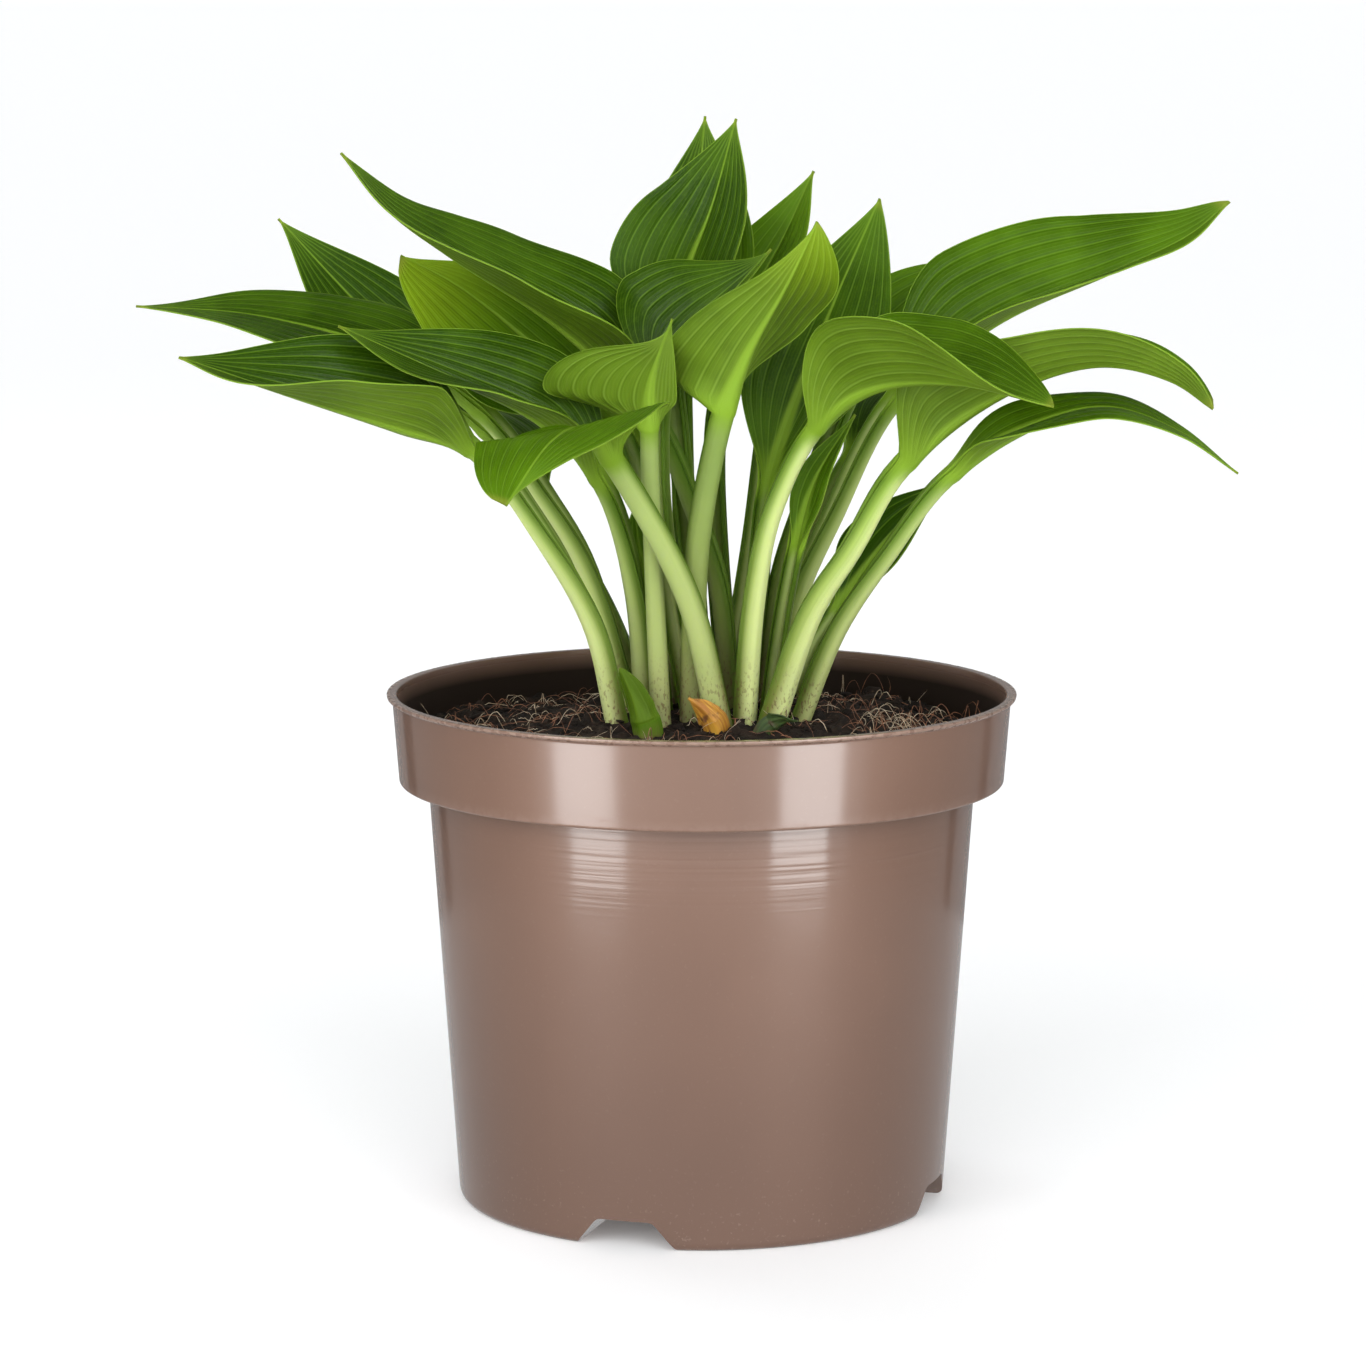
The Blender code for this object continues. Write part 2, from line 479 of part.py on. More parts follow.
def leaf_sides(leaf, stalk_stations, blade_stations, across):
    """The upper and lower side as grids of points, one row for each station, left margin to right."""
    route = [(*leaf.root, STALK_FOOT), *leaf.stalk_points, *leaf.blade_points]
    curve, places = curve_through(route)
    lengths = np.r_[0, np.cumsum(np.linalg.norm(np.diff(curve, axis=0), axis=1))]
    neck = np.interp(1 + len(leaf.stalk_points), places, lengths)
    total = lengths[-1]
    along = np.r_[np.linspace(0, neck, stalk_stations, endpoint=False),
                  np.linspace(neck, total, blade_stations)]

    def at(distance):
        return np.stack([np.interp(distance, lengths, curve[:, axis]) for axis in range(3)], -1)

    rib = at(along)
    ahead = unit(at(np.minimum(along + 1, total)) - at(np.maximum(along - 1, 0)))
    q = np.clip(along / neck, 0, 1)
    u = np.clip((along - neck) / (total - neck), 0, 1)
    on_stalk = eased([leaf.stalk_facing, leaf.facing[0]], q)
    facing = np.where((along < neck)[:, None], on_stalk, eased(leaf.facing, u))
    up = unit(facing - (facing * ahead).sum(-1, keepdims=True) * ahead)
    left_way = np.cross(up, ahead)

    root_half, neck_half, thickness = leaf.stalk
    stalk_half = (root_half + (neck_half - root_half) * q) * (1 - smooth_step(u * 2))
    stalk_like = 1 - smooth_step(u * 4)
    rib_depth = np.where(u > 0, 0.85 * thickness * (1 - u) ** 3.2 + 0.5, thickness * (1 - 0.15 * q))
    rib_spread = 4.0 * (1 - u) ** 2 + 0.9

    upper, lower = [], []
    for side, half, rise, widest, point in (
            (1, leaf.width[0], leaf.left, leaf.widest[0], leaf.point[0]),
            (-1, leaf.width[1], leaf.right, leaf.widest[1], leaf.point[1])):
        blade_half = half * blade_outline(u, widest, point) * (u > 0)
        reach = np.maximum(np.hypot(stalk_half, blade_half), TIP_HALF_WIDTH)[:, None]
        angles = (eased(STALK_CHANNEL, u) * stalk_like[:, None]
                  + eased(rise, u) * (1 - stalk_like[:, None]))
        first, last = np.radians(angles[:, :1]), np.radians(angles[:, 1:])
        turn = np.where(abs(last - first) < 0.001, 0.001, last - first)
        angle = first + turn * across
        out = reach * (np.sin(angle) - np.sin(first)) / turn
        high = reach * (np.cos(first) - np.cos(angle)) / turn
        angle[:, 0] = 0
        round_depth = np.maximum(1.2, rib_depth[:, None] * (1 - 0.8 * across ** 2))
        ridge = np.exp(-((across * reach) / rib_spread[:, None]) ** 2)
        sheet_depth = BLADE_SHEET + np.maximum(rib_depth[:, None] - BLADE_SHEET, 0) * ridge
        depth = round_depth + (sheet_depth - round_depth) * np.clip(u / 0.15, 0, 1)[:, None]
        face = (rib[:, None] + side * out[..., None] * left_way[:, None] + high[..., None] * up[:, None])
        normal = (np.cos(angle)[..., None] * up[:, None]
                  - side * np.sin(angle)[..., None] * left_way[:, None])
        back = face - normal * depth[..., None]
        # The foot is level.
        for grid in (face, back):
            drop = (STALK_FOOT - grid[0, :, 2:]) / ahead[0, 2]
            grid[0] += drop * ahead[0]
        upper.append(face)
        lower.append(back)
    join = [np.concatenate([pair[0][:, ::-1], pair[1][:, 1:]], axis=1) for pair in (upper, lower)]
    return join[0], join[1]


def make_leaf(leaf, collection, material):
    """A closed loft round the leaf's sections, from its level foot to its blunt tip."""
    upper, lower = leaf_sides(leaf, STALK_STATIONS, BLADE_STATIONS, ACROSS)
    shape = bmesh.new()
    rings = []
    for top_row, under_row in zip(upper, lower):
        points = list(top_row) + list(under_row[::-1])
        rings.append([shape.verts.new(tuple(point * MM)) for point in points])
    count = len(rings[0])
    for ring, following in zip(rings, rings[1:]):
        for i in range(count):
            j = (i + 1) % count
            shape.faces.new((ring[i], ring[j], following[j], following[i]))
    half = count // 2
    for ring in (rings[0], rings[-1]):
        for i in range(half - 1):
            shape.faces.new((ring[i], ring[i + 1], ring[count - 2 - i], ring[count - 1 - i]))
    bmesh.ops.recalc_face_normals(shape, faces=shape.faces)
    bmesh.ops.triangulate(shape, faces=shape.faces)
    mesh = bpy.data.meshes.new(leaf.name)
    shape.to_mesh(mesh)
    shape.free()
    mesh.shade_smooth()
    return add_object(leaf.name, mesh, collection, material)


def main():
    clear_scene()
    parts = new_collection("potted_hosta")
    cutters = new_collection("cutters")
    make_pot(parts, cutters)
    make_soil(parts, cutters)
    for leaf in LEAVES:
        colour = OWN_COLOURS.get(leaf.name, LEAF_GREEN)
        make_leaf(leaf, parts, plain_material(f"{leaf.name}_green", colour, 0.42))


main()
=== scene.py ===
"""The looks of a hosta in its nursery pot: fine leaves, peat and pot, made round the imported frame.

Sizes are in millimetres in the tables and in metres in the scene. The pot's axis is Z.
"""
import math
from dataclasses import dataclass

import bmesh
import bpy
import numpy as np
from mathutils import Matrix, Vector


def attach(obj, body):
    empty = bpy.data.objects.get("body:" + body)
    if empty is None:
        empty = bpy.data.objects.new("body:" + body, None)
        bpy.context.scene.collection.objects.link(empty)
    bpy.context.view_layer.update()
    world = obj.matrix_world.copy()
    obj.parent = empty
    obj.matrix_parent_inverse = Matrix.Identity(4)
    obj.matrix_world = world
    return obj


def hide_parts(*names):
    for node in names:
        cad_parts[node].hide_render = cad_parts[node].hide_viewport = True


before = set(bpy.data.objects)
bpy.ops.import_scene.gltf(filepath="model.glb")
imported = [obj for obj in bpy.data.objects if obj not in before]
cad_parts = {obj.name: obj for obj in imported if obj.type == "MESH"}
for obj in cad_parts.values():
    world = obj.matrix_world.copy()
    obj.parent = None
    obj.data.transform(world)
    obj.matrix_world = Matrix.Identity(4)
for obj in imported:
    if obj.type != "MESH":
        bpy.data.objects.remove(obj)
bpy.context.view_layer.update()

MM = 0.001

# ---- sizes of the pot and soil
POT_HEIGHT = 154.3
LIP_RADIUS = 95.0
LIP_DEPTH = 1.6
COLLAR_TOP_RADIUS = 93.4
COLLAR_FOOT_RADIUS = 91.3
COLLAR_FOOT_HEIGHT = 127.5
WALL_TOP_RADIUS = 82.6
FOOT_RADIUS = 73.8
FOOT_ROUNDING = 2.4
WALL = 1.4
FLOOR = 1.6
POT_STEPS = 192
SHARP_FROM = 38

CHANNEL_ANGLES = [-108, -18, 72, 162]
CHANNEL_FOOT_WIDTH = 31.0
CHANNEL_TOP_WIDTH = 17.0
CHANNEL_HEIGHT = 8.5
CHANNEL_INNER_END = 28.0
CHANNEL_OUTER_END = FOOT_RADIUS + 12
CHANNEL_ROUNDING = 1.6
CHANNEL_SHELL = 1.4
DRAIN_HOLE_RADIUS = 4.0
DRAIN_HOLE_REACH = 50.0
DRAIN_HOLE_DEPTH = 12
DRAIN_HOLE_SIDES = 32

SOIL_LEVEL = 141.5
SOIL_CROWN = 147.5
SOIL_RADIUS = 91.0
SOIL_GAP = 0.6
SOIL_RINGS, SOIL_TURNS = 110, 400
# Where the mound and the dip at the rim start, over how far they go, and the dip's depth.
MOUND_START, MOUND_SLOPE = 72, 40
RIM_DIP_START, RIM_DIP_SLOPE, RIM_DIP = 80, 10, 1.2
# The lumps' rise, their size, and a shift that gives each kind its own pattern.
SOIL_LUMPS = [(1.6, 19, 0), (0.9, 8, 300), (0.5, 3.5, 700)]
BURIED_CRUMBS, LOOSE_CRUMBS = 2600, 2200
FIBRE_POINTS = 12
UPRIGHT_FIBRES = 45
# The middle and the spread of the fibres' tangle.
TANGLE = ((64, -14), (9, 14))
STALK_FOOT = 145.3

# ---- leaf sections
STALK_STATIONS = 22
BLADE_STATIONS = 52
VEIN_SPACING = 4.4
VEIN_STEPS = np.array([0.0, 0.12, 0.3, 0.5, 0.7, 0.88])
STALK_CHANNEL = ((25.0, 65.0),)
BLADE_SHEET = 0.6
TIP_HALF_WIDTH = 0.35
QUILTING = 0.075
VEIN_RIDGE = 0.12
WAVE_LENGTH = 24.0
# How much closer the blade's stations stand towards its tip.
STATION_BUNCHING = 0.06


@dataclass
class Leaf:
    """A leaf's rib runs from its root through the stalk's points to the blade's, which start at the neck.

    width is the blade's greatest half width, left and right as seen from above with the tip ahead.
    facing is where the upper side looks, at even steps from neck to tip, and stalk_facing at the root.
    left and right say how each half rises from flat: degrees at the rib and at the margin, at even
    steps from neck to tip; a right half left out is like the left. widest and point hold, for the left
    half and the right, how far along the blade that half is widest and how finely it tapers to the tip.
    stalk is half its width at the root and at the neck, then its thickness. wave is how far the margins
    wander up and down. tone runs from dark, 0 or below, to light green, 1: partly the leaf's
    own tone and partly painted light and shade for how brightly the leaf is lit. blush is how yellow the
    leaf turns. stem runs from a green stalk, 0, to a pale one, 1, partly the stalk's own
    colour and partly painted light, and sets how strong the stalk's painted highlight stripe is.
    """

    name: str
    root: tuple
    stalk_points: list
    blade_points: list
    width: tuple
    stalk_facing: tuple
    facing: list
    left: tuple = ((45, 40), (25, 20), (10, 5))
    right: tuple = ()
    stalk: tuple = (3.3, 2.9, 4.2)
    widest: tuple = (0.42, 0.42)
    point: tuple = (1.25, 1.25)
    wave: float = 0.8
    tone: float = 0.4
    blush: float = 0.0
    stem: float = 0.4


LEAVES = [
    # Left side, from the lowest up.
    Leaf("leaf_left_low", (-24, -22), [(-31.5, -25, 178), (-45, -29, 203)],
         [(-66, -34, 231), (-88, -42, 238), (-119, -52, 248.5), (-150, -58, 260)], (27, 27),
         (0.8, 0.3, 0.5), [(0.2, -0.35, 0.9), (0, -0.35, 1), (0, -0.4, 1)],
         [(65, 60), (52, 40), (5, 0)], [(70, 60), (50, 40), (15, 10)], widest=(0.28, 0.28),
         point=(1.25, 1.0), tone=-0.3, stem=0.9),
    Leaf("leaf_left_long", (-20, -5), [(-34, -5, 193), (-47, -4, 215)],
         [(-64, -1, 238), (-93, 9, 255), (-133, 16, 266), (-171, 20, 269)], (22, 21),
         (0.8, 0.2, 0.5), [(0.3, -0.4, 0.8), (0, -0.3, 1), (0, -0.3, 1)],
         [(25, 25), (5, 0), (5, 5)], [(35, 35), (16, 8), (6, 6)], tone=0.05, stem=0.9),
    Leaf("leaf_left_mid", (-16, -14), [(-19.5, -16, 188)],
         [(-29, -23, 220), (-45, -28, 237), (-73, -37, 252), (-105, -46, 268)], (25, 23),
         (0.8, 0.3, 0.4), [(0.3, -0.4, 0.8), (0, -0.55, 0.83), (0, -0.5, 0.9)],
         [(60, 58), (46, 36), (4, 0)], [(50, 40), (28, 18), (15, 10)], widest=(0.42, 0.33),
         tone=-0.1, stem=0.5),
    Leaf("leaf_left_back", (-21, 8), [(-34, 12, 185), (-48, 20, 210)],
         [(-64, 32, 229), (-90, 46, 251), (-114, 55, 275), (-131, 60, 293)], (20, 19),
         (0.8, 0, 0.5), [(0.3, -0.6, 0.7), (0.1, -0.8, 0.6), (0.1, -0.8, 0.6)],
         [(20, 20), (15, 15), (10, 10)], [(10, 10), (5, 5), (0, 0)], tone=-0.2, stem=0.3),
    Leaf("leaf_left_pale", (-10, 8), [(-13, 12, 180), (-17, 13, 209)],
         [(-25, 12, 232), (-48, 10, 255), (-72, 8, 275), (-90, 6, 285)], (28, 20),
         (0.6, -0.6, 0.4), [(0.2, -0.8, 0.5), (0.1, -0.85, 0.5), (0.1, -0.8, 0.5)],
         [(25, 20), (15, 10), (10, 5)], [(20, 15), (5, 0), (0, 0)], widest=(0.5, 0.36),
         point=(0.55, 1.3), tone=0.6, blush=0.55),
    Leaf("leaf_left_high", (10, 1), [(6, 0, 186), (-1, -2, 208)],
         [(-14, -7, 238), (-40, -15, 264), (-74, -24, 287), (-91, -27, 300), (-105, -28, 317)], (27, 27),
         (0.8, 0, 0.5), [(0.5, -0.3, 0.8), (0.5, -0.2, 0.8), (0.5, -0.25, 0.8)],
         [(60, 55), (32, 25), (12, 8)], [(65, 60), (28, 20), (20, 15)], widest=(0.32, 0.3),
         point=(1.25, 1.1), tone=0.08, stem=0.2),
    # Front, folded over towards the front.
    Leaf("leaf_front_folded", (6, -27), [(-3, -31, 184), (-14, -36, 208)],
         [(-26, -45, 229), (-33, -62, 240), (-43, -84, 238), (-55, -99, 222)], (25, 28),
         (0.3, 0.9, 0.3), [(0.3, 0.85, 0.4), (0.1, 0.2, 1), (-0.1, -0.7, 0.7), (-0.1, -0.9, 0.4)],
         [(38, 30), (16, 6), (0, 0)], [(15, 10), (-15, -25), (-15, -20)], widest=(0.3, 0.45),
         point=(1.9, 0.5), tone=0.9, stem=0.5),
    Leaf("leaf_front_curled", (-12, -25), [(-14, -26, 190)],
         [(-15.5, -33, 236), (-15, -38, 250), (-12, -42, 261), (-8.7, -46, 270)], (8, 32),
         (0, 1, 0.2), [(0, 1, 0.1), (0.1, 0.9, 0), (0, 0.9, 0.2)],
         [(15, 10), (15, 0), (10, 0)], [(15, 10), (10, 0), (10, 0)], stalk=(2.6, 2.4, 3.4),
         widest=(0.3, 0.28), point=(1.25, 3.2), tone=0.1, stem=0.4),
    # Centre, from the front back.
    Leaf("leaf_centre_front", (-3, -18), [(-2.5, -23, 178), (-1, -29, 205)],
         [(6, -34, 241), (13, -38, 259), (24, -43, 279), (33, -45, 298)], (19, 24),
         (-0.2, 1, 0.2), [(-0.2, 0.9, 0.3)],
         [(65, 55), (38, 25), (0, -10)], [(20, 10), (10, 5), (10, 5)], widest=(0.6, 0.07),
         point=(0.8, 1.6), tone=-0.05, blush=0.35, stem=0.22),
    Leaf("leaf_top_front", (-2, -8), [(-9, -13, 184), (-13, -18, 220)],
         [(-11, -20, 249), (-2, -23, 263), (8, -26, 275), (20, -28, 289)], (31, 14),
         (-0.3, -0.7, 0.3), [(-0.3, -0.75, 0.6), (-0.35, -0.7, 0.6), (-0.2, -0.7, 0.7)],
         [(20, 15), (15, 0), (10, 0)], [(60, 60), (55, 50), (30, 30)], widest=(0.26, 0.33),
         point=(1.6, 1.25), tone=-0.05),
    Leaf("leaf_top_centre", (0, 8), [(-3, 8, 193), (-7, 6, 230)],
         [(-9, 6, 256), (-5, 3, 278), (3, -2, 300), (10, -6, 326)], (24, 20),
         (-0.2, -0.9, 0.2), [(-0.2, -0.9, 0.3), (-0.3, -0.9, 0.3), (-0.3, -0.9, 0.3)],
         [(20, 15), (15, 10), (10, 10)], [(40, 40), (30, 30), (10, 10)], widest=(0.34, 0.45),
         tone=-0.1, stem=0.2),
    Leaf("leaf_top_back", (-2, 18), [(-5, 21, 197), (-6, 21, 234)],
         [(-6, 22, 255), (-4, 20, 280), (-1, 18, 304), (1, 16, 326)], (15, 20),
         (0, -1, 0.2), [(-0.1, -0.95, 0.2)], [(20, 15), (10, 10), (10, 10)], tone=0.2, stem=0.1),
    Leaf("leaf_top_right", (9, 22), [(5, 28, 191), (4, 30, 224)],
         [(6, 30, 242), (15, 30, 269), (26, 31, 291), (34, 32, 309)], (15, 18),
         (0, -1, 0.2), [(-0.2, -0.9, 0.4)],
         [(20, 15), (10, 10), (10, 10)], [(50, 50), (50, 50), (30, 30)], tone=1.1, stem=0.1),
    # Right side.
    Leaf("leaf_right_upright", (12, 9), [(17, 12, 186)],
         [(20, 13, 214), (29, 12, 243), (41, 8, 274), (53, 4, 302)], (19, 20),
         (0, -1, 0.2), [(-0.15, -0.95, 0.25)],
         [(25, 15), (15, 10), (10, 10)], [(20, 10), (0, -5), (0, 0)], widest=(0.38, 0.5),
         point=(1.25, 0.9), tone=0.25, stem=0.2),
    Leaf("leaf_right_back", (19, 14), [(24, 15, 185), (32, 19, 210)],
         [(45, 31, 241), (58, 38, 260), (72, 43, 272), (89, 48, 281)], (16, 16),
         (-0.3, -0.8, 0.3), [(-0.3, -0.7, 0.6)], [(20, 15), (10, 10), (10, 10)], tone=0.9, stem=0.2),
    Leaf("leaf_right_big", (21, 3), [(28, 3, 182), (39, 5, 207)],
         [(57, 8, 241), (88, 15, 264), (124, 21, 279), (148, 26, 290), (160, 28, 300)], (28, 25),
         (-0.7, 0.1, 0.5), [(-0.4, -0.4, 0.8), (-0.4, -0.35, 0.8), (-0.3, -0.3, 0.9)],
         [(52, 48), (44, 38), (35, 30)], [(50, 45), (32, 25), (10, 5)], widest=(0.32, 0.4),
         point=(0.75, 1.3), tone=0.6, stem=0.7),
    Leaf("leaf_right_front", (12, -20), [(15, -24, 186), (20, -28, 212)],
         [(32, -35, 237), (49, -50, 250), (73, -66, 253), (99, -80, 248)], (27, 27),
         (-0.8, 0.4, 0.4), [(-0.4, -0.1, 0.9), (0, -0.1, 1), (0, -0.2, 1)],
         [(60, 55), (40, 35), (25, 20)], [(75, 75), (58, 52), (20, 15)], widest=(0.35, 0.36),
         point=(0.75, 1.2), tone=0.48, stem=1.0),
    Leaf("leaf_right_arched", (19, -24), [(32, -26, 183), (43, -28, 201)],
         [(58, -30, 226), (87, -34, 247), (115, -40, 256), (136, -44, 252), (148, -46, 244)], (21, 27),
         (-0.8, 0.4, 0.4), [(-0.5, -0.1, 0.8), (-0.2, -0.1, 0.9), (0.1, -0.1, 1)],
         [(50, 45), (18, 12), (20, 20)], [(75, 75), (45, 45), (45, 40)],
         stalk=(3.9, 3.4, 4.8), widest=(0.45, 0.2), point=(0.5, 0.7), tone=0.5, stem=1.0),
    Leaf("leaf_right_low", (28, -14), [(40, -17, 176), (54, -21, 198)],
         [(72, -25, 222), (98, -30, 238), (119, -32, 243), (140, -34, 236), (157, -34, 224)], (12, 14),
         (-0.8, 0.3, 0.4), [(-0.5, -0.2, 0.8), (0, -0.2, 1), (0.2, -0.2, 1)],
         [(50, 45), (15, 5), (5, 0)], [(35, 30), (10, 0), (0, 0)],
         stalk=(3.0, 2.6, 3.8), widest=(0.3, 0.3), tone=0.5, stem=0.6),
    Leaf("leaf_right_drooping", (27, 23), [(35, 33, 163)],
         [(42, 38, 173), (52, 44, 187), (63, 50, 200), (77, 56, 212)], (13, 8),
         (-0.3, -0.8, 0.4), [(-0.3, -0.8, 0.5)], [(15, 10), (10, 5), (10, 5)], stalk=(2.8, 2.6, 3.4),
         tone=-0.6),
    # Rear, leaning away.
    Leaf("leaf_rear_left", (-17, 19), [(-31, 36, 177)],
         [(-49, 52, 205), (-63, 72, 223), (-77, 92, 230), (-90, 112, 228)], (20, 20),
         (0.6, -0.6, 0.4), [(0.4, -0.2, 0.8), (0.2, 0.2, 1)]),
    Leaf("leaf_rear_centre", (-6, 28), [(-13, 48, 188)],
         [(-19, 64, 224), (-24, 88, 244), (-27, 116, 252), (-26, 146, 247)], (23, 23),
         (0.1, -0.9, 0.3), [(0.1, -0.5, 0.8), (0, 0.1, 1)]),
    Leaf("leaf_rear_tall", (8, 32), [(16, 48, 194)],
         [(21, 62, 230), (27, 80, 254), (33, 104, 265), (39, 130, 266)], (22, 22),
         (-0.1, -0.9, 0.3), [(-0.1, -0.6, 0.7), (0, 0, 1)]),
    Leaf("leaf_rear_right", (19, 31), [(31, 48, 188)],
         [(47, 70, 217), (62, 98, 233), (75, 122, 237), (86, 146, 234)], (20, 20),
         (-0.4, -0.7, 0.3), [(-0.4, -0.4, 0.8), (0, 0.1, 1)]),
    # Young leaves, a shoot and two spent leaf sheaths at the soil.
    Leaf("young_leaf_left", (-11, -3), [(-13, -5, 165)],
         [(-17, -8, 186), (-19, -9, 200), (-20, -9, 211)], (4.5, 4.5), (0, -0.9, 0.3), [(0.2, -0.9, 0.3)],
         [(30, 30), (20, 20), (10, 10)], stalk=(2.4, 2.2, 3.0), point=(0.8, 0.8), wave=0.3, tone=0.6),
    Leaf("young_leaf_right", (20, -8), [(24, -11, 177)],
         [(28, -15, 199), (34, -19, 221), (45, -22, 240)], (6, 6),
         (-0.3, -0.8, 0.4), [(-0.3, -0.8, 0.3), (-0.3, -0.6, 0.7)],
         [(30, 30), (20, 20), (10, 10)], stalk=(2.6, 2.2, 3.0), wave=0.3, tone=0.7),
    Leaf("young_shoot", (-17, -37), [(-17.1, -37, 148)],
         [(-17.7, -37.2, 150.5), (-20.2, -38, 158), (-24, -38.5, 167)], (4.8, 4.8),
         (0.3, 0.9, 0.1), [(0.3, 0.9, 0.1)], [(25, 60), (25, 55), (20, 40)],
         stalk=(5.4, 5.4, 1.8), widest=(0.3, 0.3), point=(0.8, 0.8), wave=0.1, tone=-1.0, stem=0.0),
    Leaf("dry_sheath", (5, -36.5), [(4.8, -36.6, 148)],
         [(3.8, -37, 150.5), (0.4, -37.6, 154.5), (-4, -38, 158)], (3.4, 4.2),
         (-0.2, 0.9, 0.3), [(-0.2, 0.9, 0.3)], [(30, 40), (30, 40), (20, 20)],
         stalk=(4.2, 4.2, 1.0), widest=(0.3, 0.2), wave=0.8),
    Leaf("green_sheath", (18, -38.5), [(19.5, -39, 148.5)],
         [(21, -39.5, 150), (24, -40.5, 151.5), (28, -41.5, 152)], (4, 4),
         (-0.2, 0.9, 0.4), [(-0.2, 0.7, 0.7), (0, 0.2, 1)], [(20, 20), (20, 20), (10, 10)],
         stalk=(3.4, 3.4, 1.6), widest=(0.2, 0.2), wave=0.3),
]


# ---- small helpers
def smooth_step(x):
    x = np.clip(x, 0, 1)
    return x * x * (3 - 2 * x)


def unit(vectors):
    return vectors / np.linalg.norm(vectors, axis=-1, keepdims=True)


def circle(count):
    """Angles at even steps round a full turn."""
    return np.linspace(0, 2 * math.pi, count, endpoint=False)


def curve_through(points, per_span=24):
    """Points of a centripetal Catmull-Rom curve, and the span position of each."""
    points = np.asarray(points, float)
    points = np.vstack([2 * points[0] - points[1], points, 2 * points[-1] - points[-2]])
    curve, places = [], []
    for span in range(1, len(points) - 2):
        four = points[span - 1:span + 3]
        knots = np.r_[0, np.cumsum([math.dist(a, b) ** 0.5 for a, b in zip(four, four[1:])])]
        last = span == len(points) - 3
        for share in np.arange(per_span + last) / per_span:
            t = knots[1] + (knots[2] - knots[1]) * share
            level = four
            for gap in (1, 2):
                level = [level[i] + (t - knots[i]) / (knots[i + gap] - knots[i]) * (level[i + 1] - level[i])
                         for i in range(4 - gap)]
            curve.append(level[0] + share * (level[1] - level[0]))
            places.append(span - 1 + share)
    return np.array(curve), np.array(places)


def eased(values, u):
    """Smoothly joined values at u, where the values lie at even steps from 0 to 1."""
    values = np.asarray(values, float)
    if len(values) == 1:
        return np.repeat(values, len(u), axis=0)
    at = np.clip(u, 0, 1) * (len(values) - 1)
    low = np.minimum(at.astype(int), len(values) - 2)
    share = smooth_step(at - low)[:, None]
    return values[low] * (1 - share) + values[low + 1] * share


class Noise:
    """Smooth value noise in -1 to 1 on points of any dimension up to three."""

    def __init__(self, seed):
        self.table = np.random.default_rng(seed).uniform(-1, 1, (32, 32, 32))

    def __call__(self, points, size):
        points = np.asarray(points, float) / size
        pad = [(0, 0)] * (points.ndim - 1) + [(0, 3 - points.shape[-1])]
        points = np.pad(points, pad)
        low = np.floor(points).astype(int)
        share = smooth_step(points - low)
        total = 0
        for corner in np.ndindex(2, 2, 2):
            step = np.array(corner[::-1])
            weight = np.prod(np.where(step, share, 1 - share), axis=-1)
            x, y, z = np.moveaxis((low + step) % 32, -1, 0)
            total = total + weight * self.table[x, y, z]
        return total


def grid_faces(rows, columns, start=0, step=1):
    """Quads over a grid of points whose first has the number start. A step of -1 turns them over."""
    return [(a, a + 1, a + columns + 1, a + columns)[::step] for i in range(rows - 1)
            for a in range(start + i * columns, start + (i + 1) * columns - 1)]


def ring_faces(rings, turns):
    """Quads from each ring of points to the next."""
    return [(i + j, i + turns + j, i + turns + (j + 1) % turns, i + (j + 1) % turns)
            for i in range(0, (rings - 1) * turns, turns) for j in range(turns)]


def capped_faces(rings, turns):
    """The rings' quads, and a fan over each end to the two points that come after the rings."""
    faces, top, end = ring_faces(rings, turns), rings * turns, (rings - 1) * turns
    for j in range(turns):
        k = (j + 1) % turns
        faces += [(top, j, k), (top + 1, end + k, end + j)]
    return faces


def new_object(name, data):
    obj = bpy.data.objects.new(name, data)
    bpy.context.scene.collection.objects.link(obj)
    return obj


def mesh_object(name, points, faces, material=None, smooth=True, scale=MM):
    mesh = bpy.data.meshes.new(name)
    mesh.from_pydata((np.asarray(points) * scale).tolist(), [], faces)
    if material:
        mesh.materials.append(material)
    if smooth:
        mesh.shade_smooth()
    return new_object(name, mesh)


def shape_object(name, shape):
    """The object of a bmesh, which it uses up."""
    mesh = bpy.data.meshes.new(name)
    shape.to_mesh(mesh)
    shape.free()
    return new_object(name, mesh)


def point_attribute(obj, name, values):
    values = np.asarray(values, np.float32)
    kind, field = ("FLOAT_VECTOR", "vector") if values.ndim == 2 else ("FLOAT", "value")
    obj.data.attributes.new(name, kind, "POINT").data.foreach_set(field, values.ravel())


def stand_for(obj, node):
    """The piece rides on the one body, and the CAD node it stands for, if any, is hidden."""
    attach(obj, "root")
    if node:
        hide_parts(node)


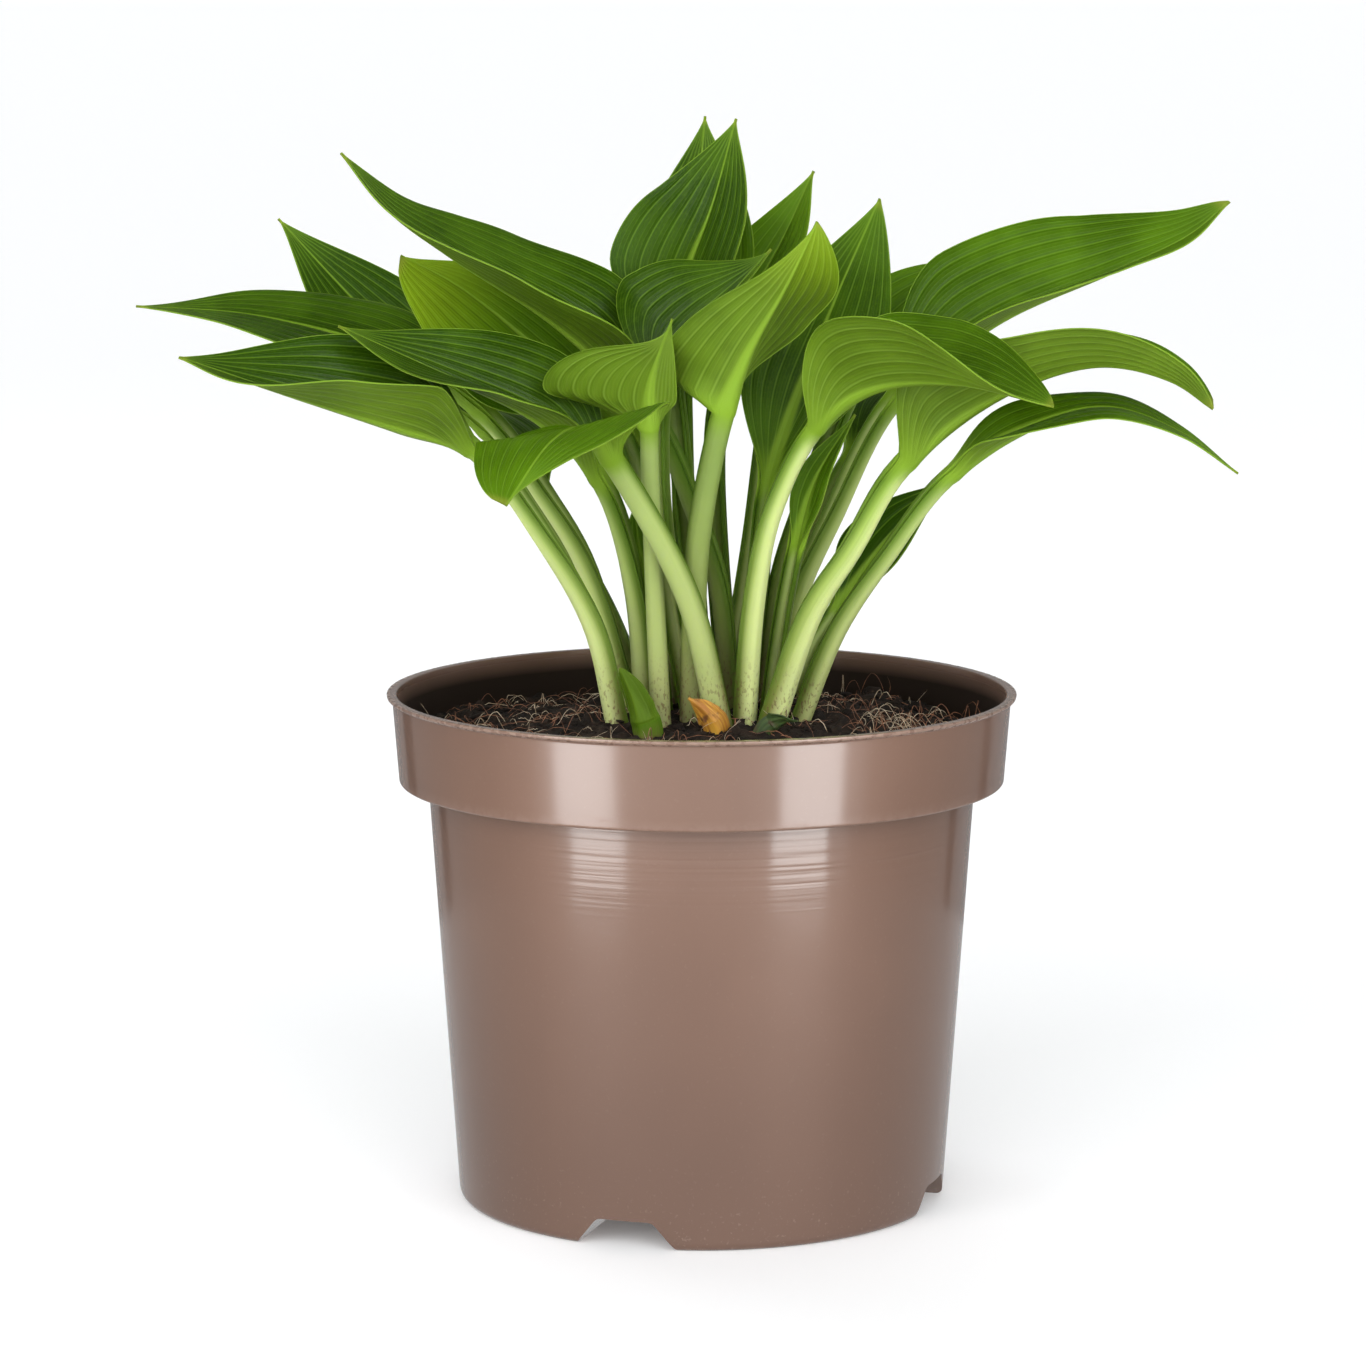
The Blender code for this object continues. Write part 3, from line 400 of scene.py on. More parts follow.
# ---- materials
class Graph:
    """A shader put together by calls; a number may be given wherever a socket may."""

    def __init__(self, data, shader="Principled BSDF", **settings):
        data.use_nodes = True
        self.data = data
        self.nodes = data.node_tree.nodes
        self.links = data.node_tree.links
        self.shader = self.nodes[shader]
        self.finish(**settings)

    def finish(self, **settings):
        for key, value in settings.items():
            self.set(self.shader.inputs[key.replace("_", " ")], value)
        return self.data

    def set(self, socket, value):
        if isinstance(value, bpy.types.NodeSocket):
            self.links.new(value, socket)
        elif isinstance(value, tuple) and len(value) == 3 and socket.type == "RGBA":
            socket.default_value = (*value, 1)
        else:
            socket.default_value = value

    def add(self, kind, inputs=(), **settings):
        node = self.nodes.new("ShaderNode" + kind)
        for key, value in settings.items():
            setattr(node, key, value)
        for key, value in dict(inputs).items():
            self.set(node.inputs[key], value)
        return node

    def attribute(self, name, output="Fac"):
        return self.add("Attribute", attribute_name=name).outputs[output]

    def coordinates(self, output="Object"):
        return self.add("TexCoord").outputs[output]

    def math(self, operation, *values):
        return self.add("Math", dict(enumerate(values)), operation=operation).outputs[0]

    def times(self, first, second):
        return self.math("MULTIPLY", first, second)

    def plus(self, total, *others):
        for other in others:
            total = self.math("ADD", total, other)
        return total

    def noise(self, vector, scale, detail=2, rough=0.5):
        """The scale is one number, or a tuple with one for each axis."""
        if isinstance(scale, tuple):
            vector = self.add("VectorMath", {0: vector, 1: scale}, operation="MULTIPLY").outputs[0]
            scale = 1
        inputs = {"Vector": vector, "Scale": scale, "Detail": detail, "Roughness": rough}
        return self.add("TexNoise", inputs).outputs["Fac"]

    def between(self, value, low, high, to_low=0, to_high=1):
        """Eased from to_low to to_high as the value goes from low to high."""
        inputs = {"Value": value, "From Min": low, "From Max": high, "To Min": to_low, "To Max": to_high}
        return self.add("MapRange", inputs, interpolation_type="SMOOTHSTEP").outputs[0]

    def near(self, value, middle, reach):
        """1 at the middle, eased to 0 at its reach to either side."""
        off = self.math("ABSOLUTE", self.math("SUBTRACT", value, middle))
        return self.between(off, 0, reach, 1, 0)

    def mix(self, share, first, second):
        inputs = {0: share, 6: first, 7: second}
        return self.add("Mix", inputs, data_type="RGBA").outputs[2]

    def layers(self, colour, *tints):
        """Each tint in turn is a share and the colour that is laid on by that share."""
        for share, tint in tints:
            colour = self.mix(share, colour, tint)
        return colour

    def ramp(self, value, stops):
        node = self.add("ValToRGB", {0: value})
        elements = node.color_ramp.elements
        while len(elements) < len(stops):
            elements.new(0.5)
        for element, (place, colour) in zip(elements, stops):
            element.position = place
            element.color = (*colour, 1)
        return node.outputs["Color"]

    def bump(self, height, distance, strength=1, normal=None):
        inputs = {"Height": height, "Distance": distance, "Strength": strength}
        if normal:
            inputs["Normal"] = normal
        return self.add("Bump", inputs).outputs["Normal"]


def new_material(name, **settings):
    return Graph(bpy.data.materials.new(name), **settings)


def leaf_material():
    """Driven by each leaf's attributes: how far a point is from the nearest vein, from the rib and from
    the margin, in millimetres; vein_share, from a vein, 0, to halfway between two, 0.5; where it lies
    from foot, -1, through neck, 0, to tip, 1; and which side it is on."""
    g = new_material("leaf", Subsurface_Weight=0.25, Subsurface_Radius=(0.9, 1.3, 0.2),
                     Subsurface_Scale=0.0012, Specular_IOR_Level=0.1)
    vein, rib, edge, share, place, under, tone, blush, stem = map(g.attribute, (
        "vein_mm", "rib_mm", "edge_mm", "vein_share", "place", "under", "tone", "blush", "stem"))
    sheet = g.attribute("sheet", "Vector")
    here = g.coordinates()

    cloud = g.noise(here, 38, 3)
    patches = g.between(cloud, 0.3, 0.7, -0.15, 0.4)
    streak = g.noise(sheet, (45, 900, 1), 3)
    net = g.noise(sheet, (1100, 1500, 1), 3)
    fine = g.math("MAXIMUM", g.near(share, 0.5, 0.07), g.near(share, 0.24, 0.05))
    # Painted shade: darker grooves beside each vein.
    groove_shade = g.near(share, 0.13, 0.12)

    # Upper side: green that varies in clouds and streaks, pale thin veins, and painted shade in the grooves
    # beside them.
    upper = g.mix(g.plus(g.times(tone, 0.7), patches), (0.014, 0.04, 0.0003), (0.075, 0.165, 0.002))
    upper = g.layers(
        upper,
        (g.between(streak, 0.35, 0.75, 0, 0.25), (0.045, 0.1, 0.001)),
        (g.between(net, 0.45, 0.75, 0, 0.16), (0.09, 0.18, 0.006)),
        (g.times(fine, 0.15), (0.11, 0.21, 0.012)),
        (g.times(groove_shade, 0.22), (0.016, 0.05, 0.0005)),
        # Painted shade, with the leaf's own dark tone: the upper side of dark leaves is darker still.
        (g.times(tone, -1.2), (0.018, 0.05, 0.0004)),
        (g.between(vein, 0.08, 0.36, 0.36, 0), (0.135, 0.25, 0.02)))

    # Under side: paler and duller, with raised pale veins and painted shade beside them.
    paleness = g.plus(g.times(g.math("ABSOLUTE", tone), 0.7), patches)
    lower = g.layers(
        g.mix(paleness, (0.062, 0.112, 0.006), (0.14, 0.24, 0.014)),
        (g.between(streak, 0.35, 0.75, 0, 0.3), (0.085, 0.17, 0.004)),
        (g.times(fine, 0.2), (0.14, 0.24, 0.014)),
        (g.times(groove_shade, 0.25), (0.038, 0.09, 0.001)),
        (g.between(vein, 0.12, 0.5, 0.3, 0), (0.2, 0.31, 0.04)))

    # Blade: yellowing, a painted highlight along the margin, a pale tip, a rib that is wide at the neck, and
    # a pale throat. Leaves that are dark, partly by their own tone and partly by painted shade, get a darker
    # under side.
    rib_width = g.between(place, 0, 0.75, 3.2, 0.5)
    rib_share = g.between(g.math("DIVIDE", rib, rib_width), 0.35, 1, 0.85, 0)
    throat = g.times(g.between(place, 0, 0.16, 0.8, 0), g.between(rib, 3, 14, 1, 0.15))
    blade = g.layers(
        g.mix(under, upper, lower),
        (g.times(blush, g.between(place, 0.45, 1)), (0.28, 0.42, 0.01)),
        # Painted highlight: a pale line along the margin.
        (g.between(edge, 0.1, 0.45, 0.4, 0), (0.21, 0.34, 0.03)),
        (g.between(place, 0.955, 1, 0, 0.7), (0.23, 0.26, 0.03)),
        (g.times(rib_share, g.between(place, 0, 1, 1, 0.45)), (0.19, 0.32, 0.025)),
        (throat, (0.18, 0.31, 0.02)),
        # Painted shade, with the leaf's own dark tone: the under side of dark leaves is darker.
        (g.times(g.math("SUBTRACT", -0.3, tone), under), (0.03, 0.062, 0.001)))

    # Stalk: pale above the soil, greener towards the blade, freckled purple at its foot. A painted highlight
    # runs down its middle and painted shade lies along its sides.
    along = g.plus(place, 1)
    # The dark brown foot of each ramp is partly the stalk's own colour and partly painted shade near the
    # soil.
    green = g.ramp(along, [(0, (0.07, 0.04, 0.022)), (0.1, (0.095, 0.08, 0.028)),
                           (0.3, (0.09, 0.12, 0.018)), (0.9, (0.06, 0.125, 0.004)),
                           (1, (0.085, 0.165, 0.008))])
    pale = g.ramp(along, [(0, (0.09, 0.06, 0.024)), (0.1, (0.15, 0.14, 0.04)),
                          (0.3, (0.27, 0.34, 0.08)), (0.7, (0.32, 0.44, 0.09)),
                          (1, (0.19, 0.33, 0.025))])
    stripe = g.noise(sheet, (25, 1500, 1), 3)
    freckle = g.between(g.noise(here, (1300, 1300, 620)), 0.54, 0.66)
    stalk = g.layers(
        g.mix(stem, green, pale),
        (g.between(stripe, 0.4, 0.75, 0, 0.35), (0.08, 0.16, 0.006)),
        # Painted highlight: a pale stripe down the middle of the stalk, strongest on pale, lit stalks.
        (g.times(g.between(rib, 0.3, 2.8, 0.75, 0), stem), (0.62, 0.7, 0.3)),
        # Painted shade along the stalk's sides.
        (g.between(edge, 0, 1.8, 0.75, 0), (0.045, 0.105, 0.003)),
        (g.times(freckle, g.between(along, 0.04, 0.3, 0.7, 0)), (0.09, 0.034, 0.026)))
    colour = g.mix(g.between(place, -0.08, 0.03), stalk, blade)

    rough = g.plus(g.between(cloud, 0.3, 0.7, 0.34, 0.46), g.times(under, 0.1))
    relief = g.plus(g.times(net, 0.5), g.times(streak, 0.6), g.times(fine, -0.5))
    return g.finish(Base_Color=colour, Roughness=rough, Normal=g.bump(relief, 0.00025, 0.5))


def sheath_material(name, dry, fresh, spots):
    g = new_material(name, Subsurface_Weight=0.2, Subsurface_Scale=0.001, Roughness=0.6)
    streak = g.noise(g.attribute("sheet", "Vector"), (120, 1800, 1), 3)
    blotch = g.noise(g.coordinates(), 300, 3)
    colour = g.layers(dry, (g.between(streak, 0.35, 0.7), fresh), (g.between(blotch, 0.52, 0.68), spots))
    return g.finish(Base_Color=colour, Normal=g.bump(streak, 0.0003, 0.6))


def pot_material():
    """Moulded plastic: a clear gloss over a duller body. Fine turned ripples under the collar spread its
    highlights up and down. Painted shade darkens the body towards the foot and the inner wall above the
    soil, and a painted highlight lightens the lip and the collar's corner."""
    g = new_material("pot_plastic", Roughness=0.5)
    here = g.coordinates()
    height = g.add("SeparateXYZ", {0: here}).outputs["Z"]
    cloud = g.noise(here, 14, 3)
    flow = g.noise(here, (60, 60, 6), 3)
    dust = g.times(g.between(g.noise(here, 900), 0.6, 0.78), g.between(height, 0, 0.03, 0.14, 0.03))
    highlight_and_rubbing = g.times(g.attribute("wear"), g.between(g.noise(here, 420, 3), 0.35, 0.6, 0.35, 1))
    stained = g.attribute("stained")
    colour = g.layers(
        g.mix(g.between(cloud, 0.3, 0.7), (0.122, 0.063, 0.04), (0.137, 0.071, 0.045)),
        (g.between(flow, 0.4, 0.7, 0, 0.25), (0.118, 0.061, 0.039)),
        # Painted shade: the body is made darker towards the foot.
        (g.between(height, 0.02, 0.115, 0.42, 0), (0.06, 0.029, 0.017)),
        (dust, (0.4, 0.33, 0.27)),
        # Painted highlight on the lip and the collar's corner, and wear at the foot: lighter there.
        (g.times(highlight_and_rubbing, 0.3), (0.38, 0.27, 0.215)),
        # Painted shade: the inner wall above the soil is made nearly black.
        (g.times(stained, 0.95), (0.008, 0.0055, 0.004)))

    scuff = g.between(g.noise(here, (90, 90, 500), 4), 0.6, 0.8, 0, 0.1)
    rough = g.plus(g.between(cloud, 0.3, 0.7, 0.11, 0.17), scuff, g.times(highlight_and_rubbing, 0.2), g.times(stained, 0.55))

    turned = g.times(g.between(height, 0.096, 0.114), g.between(height, 0.1255, 0.1285, 1, 0))
    ripple = g.times(g.noise(here, (9, 9, 760), 1), g.plus(turned, 0.05))
    normal = g.bump(g.noise(here, 60), 0.0002, 0.2, g.bump(ripple, 0.0002, 0.28))
    # Where the inner wall has painted shade, its gloss and coat are turned down too, dimming its
    # reflections.
    bright = g.math("SUBTRACT", 1, g.times(stained, 0.85))
    return g.finish(Base_Color=colour, Specular_IOR_Level=g.times(bright, 0.5), Normal=normal,
                    Coat_Weight=bright, Coat_Roughness=rough, Coat_Normal=normal)


def peat_material():
    g = new_material("peat", Roughness=0.95, Specular_IOR_Level=0.25)
    here = g.coordinates()
    grain = g.noise(here, 900, 4, 0.65)
    clump = g.between(g.noise(here, 160, 3), 0.35, 0.7)
    colour = g.layers(g.mix(clump, (0.005, 0.003, 0.002), (0.02, 0.012, 0.008)),
                      (g.between(grain, 0.58, 0.75, 0, 0.7), (0.075, 0.045, 0.03)))
    return g.finish(Base_Color=colour, Normal=g.bump(grain, 0.0008, 0.9))


def fibre_material(name, pale, deep):
    g = new_material(name, Roughness=0.65)
    here = g.coordinates()
    colour = g.mix(g.between(g.noise(here, 350, 3), 0.35, 0.65), deep, pale)
    return g.finish(Base_Color=colour, Normal=g.bump(g.noise(here, 2500), 0.0002, 0.5))


# ---- leaves
def blade_outline(u, widest, point):
    """Half width over the greatest, from the neck at 0 to the tip at 1."""
    rise = np.sin(0.5 * math.pi * np.clip(u / widest, 0, 1)) ** 1.3
    fall = np.cos(0.5 * math.pi * np.clip((u - widest) / (1 - widest), 0, 1)) ** point
    return np.where(u < widest, rise, fall)


def leaf_surface(leaf, noise):
    """Grids of points and of their measures, one row for each station, left margin to right."""
    curve, places = curve_through([(*leaf.root, STALK_FOOT), *leaf.stalk_points, *leaf.blade_points])
    lengths = np.r_[0, np.cumsum(np.linalg.norm(np.diff(curve, axis=0), axis=1))]
    neck = np.interp(1 + len(leaf.stalk_points), places, lengths)
    total = lengths[-1]
    stations = np.linspace(0, 1, BLADE_STATIONS)
    closer = stations + STATION_BUNCHING * np.sin(math.pi * stations)
    along = np.r_[np.linspace(0, neck, STALK_STATIONS, endpoint=False), neck + (total - neck) * closer]

    def at(distance):
        return np.stack([np.interp(distance, lengths, curve[:, axis]) for axis in range(3)], -1)

    # The frame at each station: q runs along the stalk and u along the blade, both from 0 to 1.
    ahead = unit(at(np.minimum(along + 1, total)) - at(np.maximum(along - 1, 0)))
    q = np.clip(along / neck, 0, 1)
    u = np.clip((along - neck) / (total - neck), 0, 1)
    on_stalk = eased([leaf.stalk_facing, leaf.facing[0]], q)
    facing = np.where((along < neck)[:, None], on_stalk, eased(leaf.facing, u))
    up = unit(facing - (facing * ahead).sum(-1, keepdims=True) * ahead)
    rib, up, left_way = at(along)[:, None], up[:, None], np.cross(up, ahead)[:, None]
    veins = max(2, round(max(leaf.width) / VEIN_SPACING))
    across = np.append((np.arange(veins)[:, None] + VEIN_STEPS).ravel() / veins, 1.0)

    def half(side, width, rise, widest, point):
        """The grids of one half from rib to margin; side is 1 for the left half and -1 for the right."""
        root_half, neck_half, thickness = leaf.stalk
        stalk_half = (root_half + (neck_half - root_half) * q) * (1 - smooth_step(u * 2))
        blade_half = width * blade_outline(u, widest, point) * (u > 0)
        reach = np.maximum(np.hypot(stalk_half, blade_half), TIP_HALF_WIDTH)[:, None]
        stalk_like = 1 - smooth_step(u * 4)[:, None]
        angles = eased(STALK_CHANNEL, u) * stalk_like + eased(rise, u) * (1 - stalk_like)
        first, last = np.radians(angles[:, :1]), np.radians(angles[:, 1:])
        turn = np.where(abs(last - first) < 0.001, 0.001, last - first)
        angle = first + turn * across
        out = reach * (np.sin(angle) - np.sin(first)) / turn
        high = reach * (np.cos(first) - np.cos(angle)) / turn
        angle[:, 0] = 0
        face = rib + side * out[..., None] * left_way
        face = face + high[..., None] * up
        normal = -side * np.sin(angle)[..., None] * left_way + np.cos(angle)[..., None] * up

        # Between veins the sheet swells up; its margin wanders.
        gap = reach / veins
        phase = across * veins % 1
        swell = np.minimum(1 - abs(2 * phase - 1) ** 2.4, 1)
        on_blade = smooth_step(u * 6)[:, None]
        spots = np.broadcast_arrays(along[:, None], side * 40 + 12 * across)
        waving = leaf.wave * noise(np.stack(spots, -1), WAVE_LENGTH)
        lift = on_blade * (QUILTING * gap * swell + waving * across ** 2.2 * np.clip(reach / 12, 0, 1))
        face = face + normal * lift[..., None]

        # The under side lies deeper at the rib and at each vein.
        rib_depth = np.where(u > 0, 0.85 * thickness * (1 - u) ** 3.2 + 0.5, thickness * (1 - 0.15 * q))
        rib_depth, rib_spread = rib_depth[:, None], (4.0 * (1 - u) ** 2 + 0.9)[:, None]
        round_depth = np.maximum(1.2, rib_depth * (1 - 0.8 * across ** 2))
        ridge = np.maximum(rib_depth - BLADE_SHEET, 0) * np.exp(-((across * reach) / rib_spread) ** 2)
        sheet_depth = BLADE_SHEET * (1 - 0.4 * across ** 6) + ridge
        sheet_depth = sheet_depth + VEIN_RIDGE * (1 - swell) * np.clip(gap / 2, 0, 1)
        depth = round_depth + (sheet_depth - round_depth) * np.clip(u / 0.15, 0, 1)[:, None]
        back = face - normal * depth[..., None]
        for grid in (face, back):
            drop = (STALK_FOOT - grid[0, :, 2:]) / ahead[0, 2]
            grid[0] += drop * ahead[0]
        vein_share = np.minimum(phase, 1 - phase) + 0 * gap
        return {"upper": face, "lower": back, "vein_mm": vein_share * gap, "vein_share": vein_share,
                "out_mm": side * across * reach, "edge_mm": (1 - across) * reach}

    left, right = (half(*values) for values in zip(
        (1, -1), leaf.width, (leaf.left, leaf.right or leaf.left), leaf.widest, leaf.point))
    grids = {key: np.concatenate([left[key][:, ::-1], right[key][:, 1:]], axis=1) for key in left}
    return {**grids, "along": along[:, None], "place": np.where(along < neck, q - 1, u)[:, None]}


def leaf_object(leaf, material, noise):
    """A closed sheet: the two sides, and a strip that joins them along the margins, foot and tip."""
    grids = leaf_surface(leaf, noise)
    rows, columns = grids["upper"].shape[:2]
    count = rows * columns
    points = np.concatenate([grids[side].reshape(-1, 3) for side in ("upper", "lower")])
    numbers = np.arange(count).reshape(rows, columns)
    rim = [*numbers[:-1, 0], *numbers[-1, :-1], *numbers[:0:-1, -1], *numbers[0, :0:-1]]
    faces = grid_faces(rows, columns, 0, -1) + grid_faces(rows, columns, count)
    faces += [(a, b, b + count, a + count) for a, b in zip(rim, rim[1:] + rim[:1])]
    obj = mesh_object(leaf.name, points, faces, material)

    def twice(grid):
        return np.tile(np.broadcast_to(grid, (rows, columns)).ravel(), 2)

    for name in ("vein_mm", "vein_share", "edge_mm", "place"):
        point_attribute(obj, name, twice(grids[name]))
    for name in ("tone", "blush", "stem"):
        point_attribute(obj, name, twice(getattr(leaf, name)))
    point_attribute(obj, "rib_mm", twice(abs(grids["out_mm"])))
    point_attribute(obj, "under", np.repeat([0.0, 1.0], count))
    own = sum(map(ord, leaf.name)) * MM
    sheet = [twice(grids["along"]), twice(grids["out_mm"]), np.repeat([0.0, 30.0], count)]
    point_attribute(obj, "sheet", np.stack(sheet, -1) * MM + own)
    return obj


def make_leaves():
    green = leaf_material()
    sheaths = {node: sheath_material(node, *colours) for node, *colours in (
        ("dry_sheath", (0.3, 0.12, 0.014), (0.46, 0.24, 0.022), (0.12, 0.045, 0.012)),
        ("green_sheath", (0.022, 0.042, 0.008), (0.045, 0.08, 0.014), (0.05, 0.034, 0.014)))}
    for index, leaf in enumerate(LEAVES):
        node = leaf.name
        obj = leaf_object(leaf, sheaths.get(node, green), Noise(100 + index))
        obj.name = node + "_visual"
        stand_for(obj, node)


# ---- pot
def rounded_corner(before, corner, after, radius, count, guard=0.0):
    """Points of an arc-like curve that rounds the corner between two neighbours. With a guard, a point
    that far outside each end keeps the straight runs shaded as straight."""
    before, corner, after = (np.array(p, float) for p in (before, corner, after))
    start, end = (corner + radius * (p - corner) / np.linalg.norm(p - corner) for p in (before, after))
    arc = [tuple((1 - t) ** 2 * start + 2 * t * (1 - t) * corner + t * t * end)
           for t in np.linspace(0, 1, count)]
    if not guard:
        return arc
    first, last = (tuple(corner + (1 + guard / radius) * (p - corner)) for p in (start, end))
    return [first, *arc, last]


def straight(start, end, count):
    """The points strictly between two ends."""
    return [tuple(np.array(start) + (np.array(end) - np.array(start)) * (i + 1) / (count + 1))
            for i in range(count)]


def wall_radius(height):
    """The wall's outside radius under the collar."""
    return FOOT_RADIUS + (WALL_TOP_RADIUS - FOOT_RADIUS) * height / COLLAR_FOOT_HEIGHT


def collar_radius(height):
    share = (height - COLLAR_FOOT_HEIGHT) / (POT_HEIGHT - COLLAR_FOOT_HEIGHT)
    return COLLAR_FOOT_RADIUS + (COLLAR_TOP_RADIUS - COLLAR_FOOT_RADIUS) * share


def pot_profile():
    """The pot's section: from the axis along the floor, up inside, over the lip and down outside."""
    ledge = COLLAR_FOOT_HEIGHT + WALL
    lip_foot = POT_HEIGHT - LIP_DEPTH
    # Each corner with its rounding, the points of its arc, its guard, and the points on to the next.
    corners = [
        ((wall_radius(FLOOR) - WALL, FLOOR), 2.0, 6, 0, 0),
        ((wall_radius(ledge) - WALL, ledge), 1.0, 6, 0, 0),
        ((collar_radius(ledge) - WALL, ledge), 1.6, 6, 0.4, 3),
        ((COLLAR_TOP_RADIUS - WALL, POT_HEIGHT), 0.5, 6, 0, 0),
        ((LIP_RADIUS, POT_HEIGHT), 0.45, 6, 0, 0),
        ((LIP_RADIUS - 0.2, lip_foot + 0.6), 0.2, 4, 0, 0),
        ((collar_radius(lip_foot), lip_foot), 0.4, 4, 0.25, 6),
        ((COLLAR_FOOT_RADIUS, COLLAR_FOOT_HEIGHT), 0.8, 7, 0.3, 0),
        ((wall_radius(COLLAR_FOOT_HEIGHT), COLLAR_FOOT_HEIGHT), 0.7, 6, 0.3, 14),
        ((FOOT_RADIUS, 0), FOOT_ROUNDING, 8, 0.4, 0),
    ]
    start, end = (0, FLOOR), (0, 0)
    places = [start, *(corner[0] for corner in corners), end]
    profile = [start]
    for before, (corner, *rounding, between), after in zip(places, corners, places[2:]):
        profile += rounded_corner(before, corner, after, *rounding) + straight(corner, after, between)
    return [*profile, (CHANNEL_INNER_END + 10, 0), end]


def lathe(name, profile):
    """A closed body turned about Z from a profile that starts and ends on the axis."""
    turns = circle(POT_STEPS)
    ring = np.stack([np.cos(turns), np.sin(turns)], -1)
    inner = np.array(profile[1:-1])
    points = np.concatenate([inner[:, None, :1] * ring[None], np.broadcast_to(
        inner[:, None, 1:], (len(inner), POT_STEPS, 1))], -1).reshape(-1, 3)
    points = np.vstack([points, (0, 0, profile[0][1]), (0, 0, profile[-1][1])])
    return mesh_object(name, points, capped_faces(len(inner), POT_STEPS), smooth=False)


def turned_object(name, shape, angle):
    bmesh.ops.rotate(shape, verts=shape.verts, matrix=Matrix.Rotation(math.radians(angle), 3, "Z"))
    return shape_object(name, shape)


def channel_prism(name, angle, grow, foot):
    """A radial trapezoid bar: the channel's hollow, or its shell when grow is the shell's thickness."""
    half_foot = CHANNEL_FOOT_WIDTH / 2 + grow
    half_top = CHANNEL_TOP_WIDTH / 2 + grow
    top = CHANNEL_HEIGHT + grow
    below = half_foot - (half_foot - half_top) / top * foot
    corners = [(-below, foot), (-half_top, top), (half_top, top), (below, foot)]
    outline = [corners[0], *rounded_corner(*corners[:3], CHANNEL_ROUNDING, 5),
               *rounded_corner(*corners[1:], CHANNEL_ROUNDING, 5), corners[3]]
    shape = bmesh.new()
    inner, outer = ([shape.verts.new((x * MM, -reach * MM, z * MM)) for x, z in outline]
                    for reach in (CHANNEL_INNER_END - grow, CHANNEL_OUTER_END))
    shape.faces.new(inner[::-1])
    shape.faces.new(outer)
    for i in range(len(outline)):
        j = (i + 1) % len(outline)
        shape.faces.new((inner[i], inner[j], outer[j], outer[i]))
    bmesh.ops.recalc_face_normals(shape, faces=shape.faces)
    return turned_object(name, shape, angle)


def drain_hole(name, angle):
    shape = bmesh.new()
    radius = DRAIN_HOLE_RADIUS * MM
    bmesh.ops.create_cone(shape, cap_ends=True, segments=DRAIN_HOLE_SIDES, radius1=radius, radius2=radius,
                          depth=DRAIN_HOLE_DEPTH * MM)
    bmesh.ops.translate(shape, verts=shape.verts, vec=(0, -DRAIN_HOLE_REACH * MM, CHANNEL_HEIGHT * MM))
    return turned_object(name, shape, angle)


def apply_booleans(obj, steps):
    """Runs the Booleans in turn, keeps the result as the object's mesh and removes the cutters."""
    for operation, other in steps:
        boolean = obj.modifiers.new(other.name, "BOOLEAN")
        boolean.operation = operation
        boolean.solver = "EXACT"
        boolean.object = other
    graph = bpy.context.evaluated_depsgraph_get()
    mesh = bpy.data.meshes.new_from_object(obj.evaluated_get(graph))
    obj.modifiers.clear()
    obj.data = mesh
    for _, other in steps:
        bpy.data.objects.remove(other)


def make_pot():
    pot = lathe("pot_visual", pot_profile())
    plug_top, plug_foot = CHANNEL_HEIGHT * 2, FLOOR / 2
    plug = [(0, plug_top), *((wall_radius(z) - WALL / 2, z) for z in (plug_top, plug_foot)), (0, plug_foot)]
    steps = []
    for angle in CHANNEL_ANGLES:
        shell = channel_prism(f"shell_{angle}", angle, CHANNEL_SHELL, FLOOR / 4)
        apply_booleans(shell, [("INTERSECT", lathe(f"plug_{angle}", plug))])
        steps.append(("UNION", shell))
    for angle in CHANNEL_ANGLES:
        steps.append(("DIFFERENCE", channel_prism(f"hollow_{angle}", angle, 0, -2)))
        steps.append(("DIFFERENCE", drain_hole(f"hole_{angle}", angle)))
    apply_booleans(pot, steps)
    mesh = pot.data
    mesh.materials.clear()
    mesh.materials.append(pot_material())
    mesh.shade_smooth()
    mesh.set_sharp_from_angle(angle=math.radians(SHARP_FROM))

    places = np.empty(len(mesh.vertices) * 3, np.float32)
    mesh.vertices.foreach_get("co", places)
    x, y, height = places.reshape(-1, 3).T / MM
    radius = np.hypot(x, y)
    # The lighter lip and collar corner are a painted edge highlight; the lighter foot is wear.
    on_lip = (height > POT_HEIGHT - LIP_DEPTH) * smooth_step((radius - COLLAR_TOP_RADIUS + 1.2) / 2.0)
    on_corner = np.exp(-((height - COLLAR_FOOT_HEIGHT - 0.6) / 0.8) ** 2) * (radius > COLLAR_FOOT_RADIUS - 2)
    on_foot = np.exp(-(height / 0.9) ** 2) * (radius > FOOT_RADIUS - 3)
    point_attribute(pot, "wear", np.clip(on_lip + 0.35 * on_corner + 0.6 * on_foot, 0, 1))
    # Painted shade: marks the inner wall above the soil, which gets little light.
    inside = (radius < collar_radius(height) - WALL / 2) & (height > COLLAR_FOOT_HEIGHT + 3)
    point_attribute(pot, "stained", inside * smooth_step((POT_HEIGHT - 0.6 - height) / 1.2))
    stand_for(pot, "pot")


# ---- soil
SOIL_NOISE = Noise(7)


def soil_height(x, y):
    """The height of the peat's surface without its crumbs."""
    radius = np.hypot(x, y)
    mound = smooth_step((MOUND_START - radius) / MOUND_SLOPE)
    flat = np.stack([x, y], -1)
    lumps = sum(rise * SOIL_NOISE(flat + shift, size) for rise, size, shift in SOIL_LUMPS)
    rim_dip = -RIM_DIP * smooth_step((radius - RIM_DIP_START) / RIM_DIP_SLOPE)
    return SOIL_LEVEL + (SOIL_CROWN - SOIL_LEVEL) * mound + lumps + rim_dip


